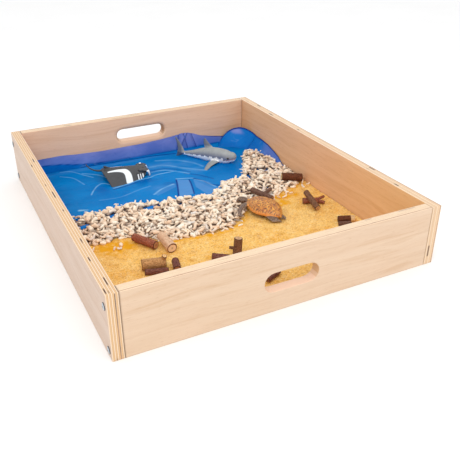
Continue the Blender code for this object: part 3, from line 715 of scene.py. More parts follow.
def build_gravel():
    rng = random.Random(11)
    shapes = coral_shapes(rng)
    all_points, all_faces, tones, warms, buried_shades = [], [], [], [], []
    count = 0
    for x, y, z, size in gravel_pieces(rng):
        verts, faces = rng.choice(shapes)
        slope = rng.gauss(0, 0.42) if z > LINER_TOP + 0.006 else rng.gauss(0, 0.15)
        tilt = Matrix.Rotation(rng.uniform(0, 2 * math.pi), 3, "Z") @ Matrix.Rotation(slope, 3, "Y")
        turn = np.array(tilt @ Matrix.Rotation(rng.uniform(0, 2 * math.pi), 3, "X"))
        placed = (verts * size * np.array((1.0, rng.uniform(0.85, 1.15), rng.uniform(0.85, 1.1)))) @ turn.T
        placed += np.array((x, y, z))
        placed[:, 2] -= max(placed[:, 2].max() - LINER_TOP - 0.0200, 0) * 0.7
        placed[:, 2] += max(LINER_TOP + 0.0002 - placed[:, 2].min(), 0)
        placed[:, 0] = np.clip(placed[:, 0], -INNER_X + 0.0015, INNER_X - 0.0015)
        all_points.append(placed)
        all_faces.append(faces + count)
        count += len(verts)
        tones.append(np.full(len(verts), rng.betavariate(3.2, 1.6)))
        warms.append(np.full(len(verts), rng.random()))
        # Painted shade for each fragment, from how far its points lie under the heap's top
        inside = heap_inside(x, y)
        top = LINER_TOP + 0.0072 + 0.0050 * ease(inside, 0.002, 0.012) + 0.0044 * ease(inside, 0.016, 0.032)
        buried_shades.append((top - placed[:, 2] - 0.0022) / 0.0070)
    points, faces = np.concatenate(all_points), np.concatenate(all_faces)
    mesh = bpy.data.meshes.new("coral_gravel")
    mesh.vertices.add(len(points))
    mesh.vertices.foreach_set("co", points.astype(np.float32).ravel())
    mesh.loops.add(faces.size)
    mesh.loops.foreach_set("vertex_index", faces.astype(np.int32).ravel())
    mesh.polygons.add(len(faces))
    mesh.polygons.foreach_set("loop_start", np.arange(0, faces.size, 3, dtype=np.int32))
    mesh.update(calc_edges=True)
    paint(mesh, tone=np.concatenate(tones), warm=np.concatenate(warms), depth=np.concatenate(buried_shades))
    seat(wrap(mesh, "coral_gravel", gravel_material()), "tray", "gravel", "gravel_bed")


# ---------------------------------------------------------------- liner sheet

LINER_START = 0.052
LINER_EDGE = 0.044
LEFT_ROUND = 0.022
# Top edge of the sheet along the back wall and along the side walls: place and height
BACK_TOP = mm(((-351, 57), (-253, 59), (-194, 55), (-128, 52), (-60, 53), (5, 54), (60, 57), (94, 60),
               (117, 63), (134, 66), (152, 65), (175, 58), (198, 48), (234, 40), (262, 35)))
SIDE_TOP = mm(((44, 9), (120, 10), (140, 11), (163, 18), (184, 32), (209, 40), (250, 50), (282, 53),
               (330, 54.5), (393, 56), (426, 57)))
# Pleats of the back flap: place at the foot, place at the top, width and depth
PLEATS = mm(((113, 121, 3.0, 3.0), (121, 149, 3.4, 4.0), (152, 139, 3.0, 3.2), (183, 163, 3.4, 4.0),
             (-20, -15, 12, 1.6), (-205, -210, 14, 1.6)))
# The corner fold: the sheet runs on along the back wall, doubles back and comes forward as a rounded hood
FOLD_START, FOLD_TURN, FOLD_BACK = 0.262, 0.318, 0.4246
HOOD_TOP = mm(((262, 416.5, 10.5), (265, 416, 20), (272, 415, 31), (283, 413, 44), (297, 409.5, 54.5),
               (312, 403, 61), (327, 393, 64), (338, 378, 63.5), (346, 356, 60), (349.2, 330, 56)))
HOOD_FOOT = mm(((245, 390), (268, 377), (294, 358), (318, 330), (336, 296)))
# Low folds under the gravel: both ends, width and height
RIDGES = mm((((-135, 60), (-95, 82), 10, 8), ((-240, 66), (-190, 80), 7, 7), ((245, 158), (292, 152), 10, 5),
             ((-310, 50), (-280, 56), 10, 6)))
WALL_ROWS, FILLET_ROWS, FLOOR_ROWS = 16, 5, 34


def table_value(table, place):
    return float(np.interp(place, *zip(*table)))


def through(points, share):
    """A smooth curve through points of any dimension."""
    return Vector([smooth_curve(axis, share) for axis in zip(*points)])


def wall_column(x, y, normal, rise):
    """Plan of one column of the sheet against a wall, as a function of level, and its top height."""
    point, normal = Vector((x, y)), Vector(normal)

    def plan(level):
        offset = 0.0007 + 0.0009 * (0.5 + 0.5 * lumps(point.x, point.y, 0.06, level * 1.2))
        if normal.y < -0.5:
            for foot, top, width, depth in PLEATS:
                offset += depth * math.exp(-((point.x - blend(foot, top, level)) / width) ** 2)
        if normal.x < -0.5:
            low = 0.012 * ease(point.y, 0.10, 0.20) + 0.022 * ease(point.y, 0.22, 0.33)
            offset += low * (1 - level) ** 1.3
        return point + normal * offset
    return plan, rise


def fold_column(x, y, foot, bulge, rise):
    """One column of the corner fold, leaning from its foot on the floor to its top."""
    top = Vector((x, y))
    return (lambda level: foot.lerp(top, level ** bulge)), rise


def liner_columns():
    """Plans and top heights of the sheet's columns, from the left front round to the right front."""
    half, back = INNER_X - 0.0009, INNER_BACK - 0.0009
    columns = []
    for i in range(46):
        y = blend(LINER_START, back - LEFT_ROUND, i / 46)
        columns.append(wall_column(-half, y, (1, 0), table_value(SIDE_TOP, y - 0.012)))
    for i in range(12):
        angle = math.pi / 2 * i / 12
        normal = Vector((math.cos(angle), -math.sin(angle)))
        point = Vector((-half + LEFT_ROUND, back - LEFT_ROUND)) - normal * LEFT_ROUND
        columns.append(wall_column(*point, normal, 0.057))
    for i in range(290):
        x = blend(-half + LEFT_ROUND, FOLD_START, i / 290)
        columns.append(wall_column(x, back, (0, -1), table_value(BACK_TOP, x)))
    foot_from, foot_to = Vector((FOLD_START, back - 0.002)), Vector(HOOD_FOOT[0])
    steps = [i / 12 for i in range(13)]
    folded = [(blend(FOLD_START, FOLD_TURN, t), 0.0, blend(0.035, 0.024, t)) for t in steps]
    folded += [(FOLD_TURN + 0.0014, 0.0012, 0.0238), (FOLD_TURN + 0.0014, 0.0026, 0.0236)]
    folded += [(blend(FOLD_TURN, 0.2655, t), blend(0.0036, 0.0052, t), blend(0.0234, 0.0110, t))
               for t in steps]
    folded += [(0.2628, 0.0062, 0.0106), (0.2628, 0.0072, 0.0104)]
    for i, (x, forward, rise) in enumerate(folded):
        columns.append(fold_column(x, FOLD_BACK - forward, foot_from.lerp(foot_to, i / len(folded)), 0.7,
                                   rise))
    for i in range(71):
        top = through(HOOD_TOP, i / 70)
        columns.append(fold_column(top.x, top.y, through(HOOD_FOOT, i / 70), 0.75, top.z))
    for i in range(1, 91):
        y = blend(HOOD_TOP[-1][1], LINER_START, i / 90)
        columns.append(wall_column(half, y, (-1, 0), table_value(SIDE_TOP, y)))
    return columns


def floor_height(x, y):
    """Height of the sheet over the base, with low folds under the gravel."""
    z = LINER_FLOOR + 0.0003
    for start, end, width, height in RIDGES:
        z += height * float(bump_at(path_distance(np.array([[x, y]]), (start, end)), width)[0])
    return z + 0.0002 * (1 + lumps(x, y, 0.03))


def build_liner():
    bm = bmesh.new()
    fillet = 0.005
    base = LINER_FLOOR + 0.0003
    plans = liner_columns()
    columns = []
    for index, (plan, rise) in enumerate(plans):
        top = max(rise + 0.0004 * lumps(index * 0.01, 0.0, 0.2), base + fillet + 0.0012)
        column = []
        for row in range(WALL_ROWS):
            level = 1 - (row / WALL_ROWS) ** 1.5
            column.append((*plan(level), blend(base + fillet, top, level)))
        foot = plan(0.0)
        share = index / (len(plans) - 1)
        target = Vector((blend(-INNER_X + 0.012, INNER_X - 0.012, share), LINER_EDGE))
        inward = (target - foot).normalized()
        for row in range(FILLET_ROWS):
            angle = math.pi / 2 * row / FILLET_ROWS
            column.append((*(foot + inward * fillet * (1 - math.cos(angle))),
                           base + fillet * (1 - math.sin(angle))))
        start = foot + inward * fillet
        for row in range(FLOOR_ROWS + 1):
            flat = start.lerp(target, row / FLOOR_ROWS)
            column.append((*flat, floor_height(*flat)))
        columns.append([bm.verts.new(co) for co in column])
    for left, right in zip(columns, columns[1:]):
        for row in range(len(left) - 1):
            bm.faces.new((left[row], right[row], right[row + 1], left[row + 1]))
    bmesh.ops.recalc_face_normals(bm, faces=bm.faces)
    if sum(face.normal.z for face in bm.faces) < 0:
        bmesh.ops.reverse_faces(bm, faces=bm.faces)
    area = sum(face.calc_area() for face in bm.faces)
    mesh = bpy.data.meshes.new("liner")
    bm.to_mesh(mesh)
    bm.free()
    liner = wrap(mesh, "liner", liner_material())
    points = points_of(mesh)
    x, y, z = points.T
    dry_line = np.interp(x, mm((-300, -256, -218, -178, -122, 0)), mm((36, 32, 25, 19, 14.5, 14)))
    back = fade(y - 0.4180, 0.001)
    # Painted highlights on the hood: a patch near its top and a band low along the right wall
    patch = np.exp(-((x - 0.314) / 0.014) ** 4 - ((z - 0.054) / 0.0075) ** 4)
    right_flank_highlight = bump_at(y - 0.215, 0.05, 4) * (x > 0.32) * (z > 0.016)
    # The sheet above the water line on the back wall: paler lilac, partly painted sheen
    dry = fade(z - dry_line, 0.003) * back * (0.55 + 0.45 * fade(z - dry_line, 0.030))
    flat = np.stack([x, z], axis=1)
    # Painted shade along the water line on the back wall and in the pleats
    fold = 0.6 * bump_at(z - dry_line, 0.0014) * back * (x < 0.10)
    for low, high, _, _ in PLEATS[:4]:
        reach = path_distance(flat, ((low, 0.010), (high, 0.064)))
        fold = np.maximum(fold, 0.75 * bump_at(reach, 0.0016) * back)
    # Painted shade along the top edge of the hood
    rim = np.zeros(len(points))
    for row, strength in enumerate((1.0, 1.0, 1.0, 0.4)):
        rim[row::WALL_ROWS + FILLET_ROWS + FLOOR_ROWS + 1] = strength
    paint(mesh, dry=dry + (0.85 * patch + 0.70 * right_flank_highlight) * (1 - back),
          fold=np.maximum(fold, rim * fade(x - 0.20, 0.05)))
    solid = liner.modifiers.new("thickness", "SOLIDIFY")
    solid.thickness = 0.0004
    solid.offset = 1.0
    seat(liner, "tray", "liner", "liner_sheet")


# ---------------------------------------------------------------- water

# Folds of the sheet seen through the water, drawn as painted highlights and painted shade: width in
# millimetres, strength, then x and y of each point
HIGHLIGHT_LINES = (
    (2.0, 0.45, -261, 412, -231, 403, -208, 368, -185, 333),
    (2.0, 0.50, -206, 376, -168, 344, -149, 308, -150, 268),
    (1.8, 0.60, -222, 220, -211, 241, -194, 266, -174, 280, -156, 263),
    (2.0, 0.35, -269, 381, -238, 353, -221, 296),
    (2.0, 0.80, -155, 234, -113, 243, -75, 256, -41, 257, -10, 268, 46, 268),
    (2.4, 0.25, -211, 178, -157, 172, -98, 192, -59, 202),
    (3.0, 0.55, -68, 146, -38, 168, 4, 184),
    (3.0, 0.45, -22, 292, 19, 289, 49, 261, 73, 234),
    (5.0, 0.30, -18, 329, 33, 322, 79, 275, 126, 235),
    (4.0, 0.30, 22, 369, 76, 347, 115, 305, 133, 265),
    (3.6, 0.85, -276, 141, -258, 135),
    (2.2, 0.80, 26, 215, 70, 198),
    (2.0, 0.55, 71, 187, 89, 166, 104, 117),
)
CREASE_SHADE_LINES = (
    (2.0, 0.95, -19, 89, 8, 162, 24, 212),
    (1.8, 0.90, 32, 102, 49, 159, 57, 194),
    (2.0, 0.90, 70, 198, 87, 172, 100, 136, 127, 114),
    (4.0, 0.45, -155, 228, -113, 236, -75, 248, -41, 250),
    (3.0, 0.35, -24, 303, 33, 296, 82, 245),
    (2.4, 0.50, 62, 240, 93, 214, 122, 169),
    (2.6, 0.75, -254, 428, -186, 421, -57, 415, 14, 412, 99, 400),
)
# Four-sided painted highlights: strength and corners in millimetres
HIGHLIGHT_PATCHES = (
    (0.62, ((24, 210), (-17, 92), (33, 104), (56, 192))),
    (0.50, ((67, 187), (54, 139), (63, 78), (100, 90))),
    (0.30, ((67, 187), (63, 100), (112, 100), (100, 160))),
    (0.30, ((-65, 150), (-62, 134), (3, 165), (13, 188))),
)
# Broad painted reflections and darker blue places: strength, then centre and half sizes in millimetres
SHEEN_SPOTS = ((0.25, 100, 250, 30, 20), (0.28, 20, 330, 50, 22), (0.25, 90, 310, 40, 18),
               (0.20, -40, 180, 35, 22), (0.45, -330, 400, 30, 30), (0.25, -60, 400, 120, 10),
               (0.25, -215, 405, 60, 10))
DARK_BLUE_SPOTS = ((0.45, -185, 245, 22, 34), (0.35, -330, 230, 30, 160), (0.40, 200, 230, 50, 45),
              (0.45, 290, 360, 45, 35), (0.55, -60, 238, 30, 10), (0.25, -145, 290, 20, 50))
CORNER_RIGHT, CORNER_LEFT = 0.066, 0.030


def water_back(x):
    """Far edge of the water, rounded in at the corners where the sheet curves off the walls."""
    edge, half = INNER_BACK - 0.0035, INNER_X - 0.0025
    for reach, radius in ((x, CORNER_RIGHT), (-x, CORNER_LEFT)):
        past = reach - half + radius
        if past > 0:
            return edge - radius + math.sqrt(max(radius ** 2 - past ** 2, 0.0))
    return edge


def fold_lines(points, rows):
    """Distance over width from each fold line, with its strength."""
    for width, strength, *flat in rows:
        path = smooth_path(mm(tuple(zip(flat[::2], flat[1::2]))))
        yield path_distance(points, path) / mm(width), strength


def spots(points, table):
    total = np.zeros(len(points))
    for strength, *place in table:
        x, y, wide, deep = mm(tuple(place))
        total += strength * np.exp(-((points[:, 0] - x) / wide) ** 2 - ((points[:, 1] - y) / deep) ** 2)
    return total


def inside(points, corners):
    """Soft mask of a four-sided patch whose corners run round it."""
    mask = np.ones(len(points))
    for (ax, ay), (bx, by) in zip(corners, corners[1:] + corners[:1]):
        off = (bx - ax) * (points[:, 1] - ay) - (by - ay) * (points[:, 0] - ax)
        mask *= fade(off / math.hypot(bx - ax, by - ay), 0.0030, 0.5)
    return mask


def build_water():
    half = INNER_X - 0.0026
    columns, rows = 400, 180
    bm = bmesh.new()
    grid = []
    for j in range(rows + 1):
        grid.append([])
        for i in range(columns + 1):
            x = blend(-half, half, i / columns)
            y = blend(gravel_edge(GRAVEL_FAR, x) - 0.014, water_back(x), j / rows)
            z = WATER_TOP - 0.0006 + 0.0005 * lumps(x, y * 1.8, 0.06)
            z += 0.00028 * lumps(x, y * 1.6, 0.022, 5.0)
            grid[-1].append(bm.verts.new((x, y, z)))
    for near, far in zip(grid, grid[1:]):
        for i in range(columns):
            bm.faces.new((near[i], near[i + 1], far[i + 1], far[i]))
    border = grid[0][:-1] + [line[-1] for line in grid[:-1]]
    border += grid[-1][:0:-1] + [line[0] for line in grid[:0:-1]]
    lower = [bm.verts.new((vert.co.x, vert.co.y, LINER_TOP + 0.0004)) for vert in border]
    bridge(bm, lower, border)
    bm.faces.new(lower[::-1])
    water = object_from(bm, "water", water_material())
    points = points_of(water.data)
    line, crease, lift = (np.zeros(len(points)) for _ in range(3))
    for away, strength in fold_lines(points, HIGHLIGHT_LINES):
        line = np.maximum(line, bump_at(away, 1) * strength)
        lift = np.maximum(lift, bump_at(away, 2.2) * strength * 0.0008)
    for away, strength in fold_lines(points, CREASE_SHADE_LINES):
        crease = np.maximum(crease, bump_at(away, 1) * strength)
        lift -= bump_at(away, 1.6) * strength * 0.0006
    grain = lumps_at(points, 0.03, 6.0, 2.2)
    bright = spots(points, SHEEN_SPOTS) * (0.9 + 0.9 * grain)
    for strength, corners in HIGHLIGHT_PATCHES:
        bright = np.maximum(bright, inside(points, mm(corners)) * strength)
    # Painted highlights along the light lines, painted shade along the creases, painted reflections, and
    # darker blue places
    paint(water.data, line=line * (0.95 + 0.6 * grain), crease=crease * 1.4, sheen=bright,
          deep=spots(points, DARK_BLUE_SPOTS))
    upper = points[:, 2] > LINER_TOP + 0.003
    points[upper, 2] = np.minimum(points[upper, 2] + lift[upper], WATER_TOP + 0.0012)
    water.data.vertices.foreach_set("co", points.ravel())
    water.data.update()
    seat(water, "tray", "water", "water_layer")


# ---------------------------------------------------------------- toy animals

RAY_PLACE, RAY_TURN = (-0.100, 0.306, LINER_TOP + 0.0003), math.radians(-9)
SHARK_PLACE, SHARK_TURN = (0.1765, 0.297, LINER_TOP + 0.0003), math.radians(-46.7)
TURTLE_PLACE, TURTLE_TURN = (0.1515, -0.0848, SAND_TOP + 0.0006), math.radians(99.5)


def toy_matrix(place, turn):
    return Matrix.Translation(place) @ Matrix.Rotation(turn, 4, "Z")


RAY_HALF_SPAN = 0.100
RAY_RIDGE = 0.0324
RAY_LEAD = mm((62, 63, 44, 18, -8, -30))
RAY_TRAIL = mm((-65, -62, -56, -50, -44, -40))
RAY_DROOP = mm((84, 77, 68, 57, 43, 34))
RAY_DROOP_START, RAY_DROOP_END = -0.080, 0.070
RAY_TAIL = ((-51, 0, 29.0, 4.2), (-63, 0, 28.5, 3.4), (-75, 3, 28.4, 2.8), (-85, 9, 29.2, 2.4),
            (-94, 18, 31.8, 2.1), (-100, 28, 35.0, 1.9), (-103, 37, 38.5, 1.6))


def ray_top(x, y):
    reach = smooth_curve(RAY_DROOP, (x - RAY_DROOP_START) / (RAY_DROOP_END - RAY_DROOP_START))
    share = abs(y) / reach
    if share < 1.0:
        return RAY_RIDGE - 0.0285 * share ** 1.35
    return max(0.0030, RAY_RIDGE - 0.0285 - 0.006 * (share - 1.0))


def build_ray():
    """Manta with drooping wings, painted shoulder stripes, head lobes, gill slits in painted shade, back fin
    and thin tail.
    """
    bm = bmesh.new()

    def wing(u, v, lower):
        y = (2 * v - 1) * RAY_HALF_SPAN
        share = abs(2 * v - 1)
        x = blend(smooth_curve(RAY_TRAIL, share), smooth_curve(RAY_LEAD, share), u)
        edge = math.sin(math.pi * u) ** 0.5 if 0.0 < u < 1.0 else 0.0
        body = max(0.0, 1 - (y / 0.027) ** 2)
        thick = 0.0036 + body * blend(0.010, 0.022, (x + 0.065) / 0.127)
        high = ray_top(x, y) - 0.0010 * (1 - edge)
        return Vector((x, y, max(0.0, high - blend(0.0015, thick, edge)) if lower else high))

    add_slab(bm, 60, 96, wing)
    for sign in (1, -1):
        add_fin(bm, (52, sign * 27, 24), (56, sign * 9, 30), (70, sign * 26, 4), (71, sign * 12, 4), 9, 5,
                (5, sign * 2, 4))
        add_ball(bm, (0.047, sign * 0.020, 0.024), (0.010, 0.0050, 0.0055))
    add_ball(bm, (0.050, 0.013, 0.0312), (0.0036, 0.0030, 0.0030))
    add_tube(bm, RAY_TAIL, 12)
    add_fin(bm, (-29, 0, 31.5), (-53, 0, 30), (-52, 0, 42.5), (-59, 0, 41.5), 4.5, 1.8, (-1, 0, 0))
    paints = (("sheen", (98, 100, 104)), ("white", (236, 244, 250)), ("slit", (14, 18, 34)))
    look = painted_toy("manta_plastic", (58, 60, 64), 0.42, 900.0, 0.0002, *paints)
    ray = toy_from(bm, "manta", look, RAY_PLACE, RAY_TURN, 0.0011, 4)
    x, side, z = points_of(ray.data).T
    y = np.abs(side)
    top = z > np.array([ray_top(float(a), float(b)) for a, b in zip(x, y)]) - 0.0022
    stripe_path = smooth_path(mm(((-47, 17), (-30, 15), (-12, 16), (0, 21), (6, 33), (6, 56))))
    width = np.interp(x, mm((-50, -30, -8, 4, 20)), mm((2.0, 3.6, 6.2, 10, 11)))
    distance = path_distance(np.stack([x, y], axis=1), stripe_path)
    stripe = fade(width - distance, 0.0012, 0.5) * top
    belly = fade(0.0130 - z, 0.002) * (x > -0.05) * (y < 0.045) * (1 - top)
    lobes = (x > 0.0615) & (z < 0.0235) & (y < 0.031)
    lobe_core = (np.abs(y - 0.0185) < 0.0012 + 0.24 * np.clip(0.026 - z, 0, 0.02)) & (z < 0.0245)
    knob = (side > 0.006) & (side < 0.020) & (np.abs(x - 0.050) < 0.006) & (z > 0.0308)
    white = np.maximum(np.maximum(stripe, belly), np.maximum(lobes & ~lobe_core, knob))
    for place in (0.036, 0.043, 0.050):
        white = np.maximum(white, (np.abs(x - place) < 0.0015) & (y > 0.026) & (z < 0.0160))
    # Painted shade in the gill slits
    slits = np.zeros(len(x))
    for place in (0.0325, 0.0395, 0.0465, 0.0535):
        slits = np.maximum(slits, bump_at(x - place, 0.0012) * (y > 0.024) * (z < 0.0185))
    paint(ray.data, white=white, slit=slits, sheen=fade(z - 0.014, 0.03) * fade(x + 0.02, 0.08) * 0.5)
    seat(ray, "manta_ray", "ray_plastic", "manta_ray")


SHARK_NOSE, SHARK_LENGTH = 0.081, 0.180
SHARK_HALF_WIDTH = mm((0, 15.5, 19, 19.5, 17.5, 14, 9.5, 6, 3.5))
SHARK_TOP = mm((25, 41.5, 46.2, 47.2, 45.8, 40, 32, 25.8, 21.5))
SHARK_BOTTOM = mm((25, 4.5, 0.4, 0.4, 1, 4, 7.5, 10, 12))
BLUNT = 0.105
SHARK_FINS = (
    ((36, 11, 12), (6, 11, 11), (17, 88, 2.2), (8, 86, 2.2), 8, 2, (-4, 0, 2)),
    ((36, -11, 12), (6, -11, 11), (17, -88, 2.2), (8, -86, 2.2), 8, 2, (-4, 0, 2)),
    ((12, 0, 43), (-19, 0, 39), (-17.5, 0, 73.5), (-23.5, 0, 72.5), 9, 2, (-3, 0, 1)),
    ((-89, 0, 20.5), (-113, 0, 16.5), (-115.5, 0, 65.5), (-120.5, 0, 65), 7, 2, (4, 0, -1)),
    ((-114, 0, 22), (-91, 0, 15), (-122, 0, 1.5), (-116.5, 0, 1.5), 7, 2, (3, 0, 1)),
)


def shark_section(share):
    """Half width, half height and middle height of the body, with a blunt rounded nose."""
    held = max(share, BLUNT)
    high, low = smooth_curve(SHARK_TOP, held), smooth_curve(SHARK_BOTTOM, held)
    wide, tall, middle = smooth_curve(SHARK_HALF_WIDTH, held), (high - low) / 2, (high + low) / 2
    if share < BLUNT:
        rounding = math.sqrt(max(1 - (1 - share / BLUNT) ** 2.2, 0.0))
        wide, tall = wide * rounding, tall * rounding
        middle = blend(0.0262, middle, share / BLUNT)
    return wide, tall, middle


def build_shark(eye_look):
    """Round-headed shark: tall back fin, swept breast fins, crescent tail, white belly and dark eyes."""
    bm = bmesh.new()
    stations, segments = 60, 40
    rings = []
    for index in range(1, stations):
        share = 0.5 - 0.5 * math.cos(math.pi * index / stations)
        wide, tall, middle = shark_section(share)
        ring = []
        for k in range(segments):
            angle = 2 * math.pi * k / segments
            side, up = math.cos(angle), math.sin(angle)
            across = side * wide * (1 - 0.10 * max(up, 0))
            ring.append(bm.verts.new((SHARK_NOSE - SHARK_LENGTH * share, across, middle + up * tall)))
        rings.append(ring)
    for ring, following in zip(rings, rings[1:]):
        bridge(bm, ring, following)
    bm.faces.new(rings[0])
    bm.faces.new(rings[-1])
    for row in SHARK_FINS:
        add_fin(bm, *row)
    paints = (("flank", (92, 100, 132)), ("fin", (84, 90, 106)), ("white", (246, 248, 250)),
              ("gill", (80, 88, 104)), ("mouth", (150, 60, 66)))
    look = painted_toy("shark_plastic_paint", (156, 160, 160), 0.40, 700.0, 0.0002, *paints)
    shark = toy_from(bm, "great_shark", look, SHARK_PLACE, SHARK_TURN, 0.0011, 3)
    x, y, z = points_of(shark.data).T
    y = np.abs(y)
    shares = np.clip((SHARK_NOSE - x) / SHARK_LENGTH, 0.001, 0.999)
    sections = np.array([shark_section(float(share)) for share in shares])
    rel = (z - sections[:, 2]) / np.maximum(sections[:, 1], 0.002)
    wave = 0.0010 * np.sin(x * 330) + 0.0008 * np.sin(x * 790 + 1.0)
    low_line = np.interp(x, mm((-100, -80, -55, -30, 0, 40, 58, 70, 81)),
                         mm((13.5, 13.5, 11, 9.5, 8.5, 9, 13, 16.5, 18.5)))
    low_line = low_line + 0.0042 + wave * 1.3 * fade(0.04 - x, 0.02)
    fringe = np.where(x > 0.045, -2.0, -0.06 + 0.09 * np.sin(x * 330) + 0.04 * np.sin(x * 790 + 1.0))
    belly = np.maximum(fade(low_line - z, 0.0008, 0.5), fade(fringe - rel, 0.12, 0.5))
    belly = belly * (y < 0.021) * (x > -0.090)
    # Painted shade: the lower sides turn a darker blue-grey towards the belly, more so behind the head
    flank = fade(0.70 - rel, 0.90) * (0.45 + 0.55 * fade(0.066 - x, 0.03))
    mouth_line = np.interp(x, mm((50, 62, 75)), mm((15.5, 17.8, 20.5)))
    gills = np.zeros(len(x))
    for place in (0.034, 0.038, 0.042, 0.046):
        gills = np.maximum(gills, bump_at(x - place + (z - 0.02) * 0.2, 0.0007) * (z > 0.016) * (z < 0.030))
    fins = (z > 0.052) | (x < -0.098)
    paint(shark.data, flank=flank * (1 - belly) * (y < 0.022), white=belly,
          fin=fins * 0.7 + (y > 0.022) * 0.35 * fade(y - 0.022, 0.05),
          mouth=bump_at(z - mouth_line, 0.0013) * (x > 0.054), gill=gills * (y > 0.012) * 0.7)
    seat(shark, "shark", "shark_plastic", "shark")
    bm = bmesh.new()
    for sign in (1, -1):
        add_ball(bm, (0.0590, sign * 0.0146, 0.0232), (0.0034, 0.0020, 0.0032), sign * -0.35, 20, 12)
    eyes = object_from(bm, "shark_eyes", eye_look, toy_matrix(SHARK_PLACE, SHARK_TURN))
    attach(eyes, "shark")


SHELL_HALF, SHELL_WIDE, SHELL_RIM, SHELL_CROWN = 0.060, 0.041, 0.0120, 0.0215
TURTLE_HEAD_TURN = 0.75
TURTLE_NECK = ((36, 6, 15, 8.4), (48, 11, 15, 8.0), (58, 17, 15.5, 7.4), (64, 22, 16, 7.6))
PADDLES = (
    ((52, 12, 17.5), (30, 24, 16), (6, 87, 15), (-6, 82, 14), 8.5, 4, (12, 4, 3)),
    ((46, -12, 16), (26, -20, 14), (8, -48, 7.5), (-4, -44, 7), 8, 3, (6, -2, 1)),
    ((-24, 26, 11), (-44, 4, 10), (-58, 26, 5), (-71, 5, 5), 8.5, 4, (-2, 3, 1)),
    ((-26, -16, 11), (-44, -6, 9.5), (-56, -20, 4), (-65, -10, 4), 7.5, 3, (0, 0, 0)),
    ((-48, 3, 10.5), (-48, -3, 10.5), (-66, 1, 8), (-66, -1, 8), 4, 2, (0, 0, 0)),
)
# Centres of the shell's plates
SCUTES = mm(((48, 0), (24, 0), (0, 0), (-24, 0), (-46, 0)) + tuple(
    (x, side * 25) for side in (1, -1) for x in (34, 12, -12, -36)))


def shell_half_width(x):
    """Half width of the turtle's shell along its length: blunt in front, drawn to a point behind."""
    back = min(max((SHELL_HALF - x) / (2 * SHELL_HALF), 0.0), 1.0)
    if not 0.0 < back < 1.0:
        return 0.0
    return SHELL_WIDE * math.sin(math.pi * back ** 0.86) ** blend(0.55, 0.95, back)


def build_turtle(eye_look):
    """Sea turtle with a keeled, scalloped shell, a wrinkled neck and head, and four scaly paddles."""
    bm = bmesh.new()

    def shell(u, v, lower):
        x = blend(SHELL_HALF - 0.0001, 0.0001 - SHELL_HALF, u)
        wide = shell_half_width(x)
        side = 2 * v - 1
        scallop = 1 + 0.022 * math.sin(x * 520) * abs(side) ** 6
        full = (wide / SHELL_WIDE) ** 0.75
        crown = max(0.0, 1 - abs(side) ** 2.3)
        keel = 0.0011 * math.exp(-(side / 0.07) ** 2) * full
        ribs = 0.0005 * math.exp(-((abs(side) - 0.5) / 0.08) ** 2) * full * math.sin(x * 300)
        if lower:
            return Vector((x, side * wide * 0.97, SHELL_RIM - 0.0108 * crown ** 0.6 * full - 0.0009))
        dome = SHELL_RIM + SHELL_CROWN * full * crown ** 0.75 + keel + ribs
        return Vector((x, side * wide * scallop, dome))

    add_slab(bm, 70, 48, shell)
    add_tube(bm, TURTLE_NECK, 20)
    add_ball(bm, (0.0665, 0.0255, 0.0172), (0.0152, 0.0100, 0.0090), TURTLE_HEAD_TURN)
    add_ball(bm, (0.0745, 0.0335, 0.0140), (0.0060, 0.0058, 0.0050))
    for row in PADDLES:
        add_fin(bm, *row)
    turtle = toy_from(bm, "sea_turtle", turtle_material(), TURTLE_PLACE, TURTLE_TURN, 0.0010, 2)
    x, y, z = points_of(turtle.data).T
    rim_band = np.abs(y) / np.maximum([shell_half_width(float(a)) for a in x], 1e-4)
    shell_area = (rim_band < 1.08) & (z > SHELL_RIM - 0.0022) & (np.abs(x) < SHELL_HALF + 0.0005)
    away = np.stack([np.hypot(x - scute_x, y - scute_y) for scute_x, scute_y in SCUTES])
    order = np.sort(away, axis=0)
    nearest = np.array(SCUTES)[np.argmin(away, axis=0)]
    angle = np.arctan2(y - nearest[:, 1], x - nearest[:, 0])
    radial = np.sin(angle * 9 + 1.1 * np.sin(x * 200) + 1.1 * np.sin(y * 240))
    paint(turtle.data, shell=shell_area, rim=fade(rim_band - 0.84, 0.08) * (z < SHELL_RIM + 0.006) * 0.7,
          streak=np.clip(radial * 1.5 - 0.35, 0, 1) * fade(order[0] - 0.001, 0.004),
          seam=0.45 * bump_at(order[1] - order[0], 0.0016) * shell_area, light=fade(0.012 - z, 0.006))
    seat(turtle, "turtle", "turtle_plastic", "turtle")
    bm = bmesh.new()
    turn = Matrix.Rotation(TURTLE_HEAD_TURN, 4, "Z")
    for sign in (1, -1):
        add_ball(bm, Vector((0.0665, 0.0255, 0.0190)) + turn @ Vector((0.0075, sign * 0.0088, 0.0)),
                 (0.0020, 0.0012, 0.0019), TURTLE_HEAD_TURN, 16, 10)
    eyes = object_from(bm, "turtle_eyes", eye_look, toy_matrix(TURTLE_PLACE, TURTLE_TURN))
    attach(eyes, "turtle")


# ---------------------------------------------------------------- logs

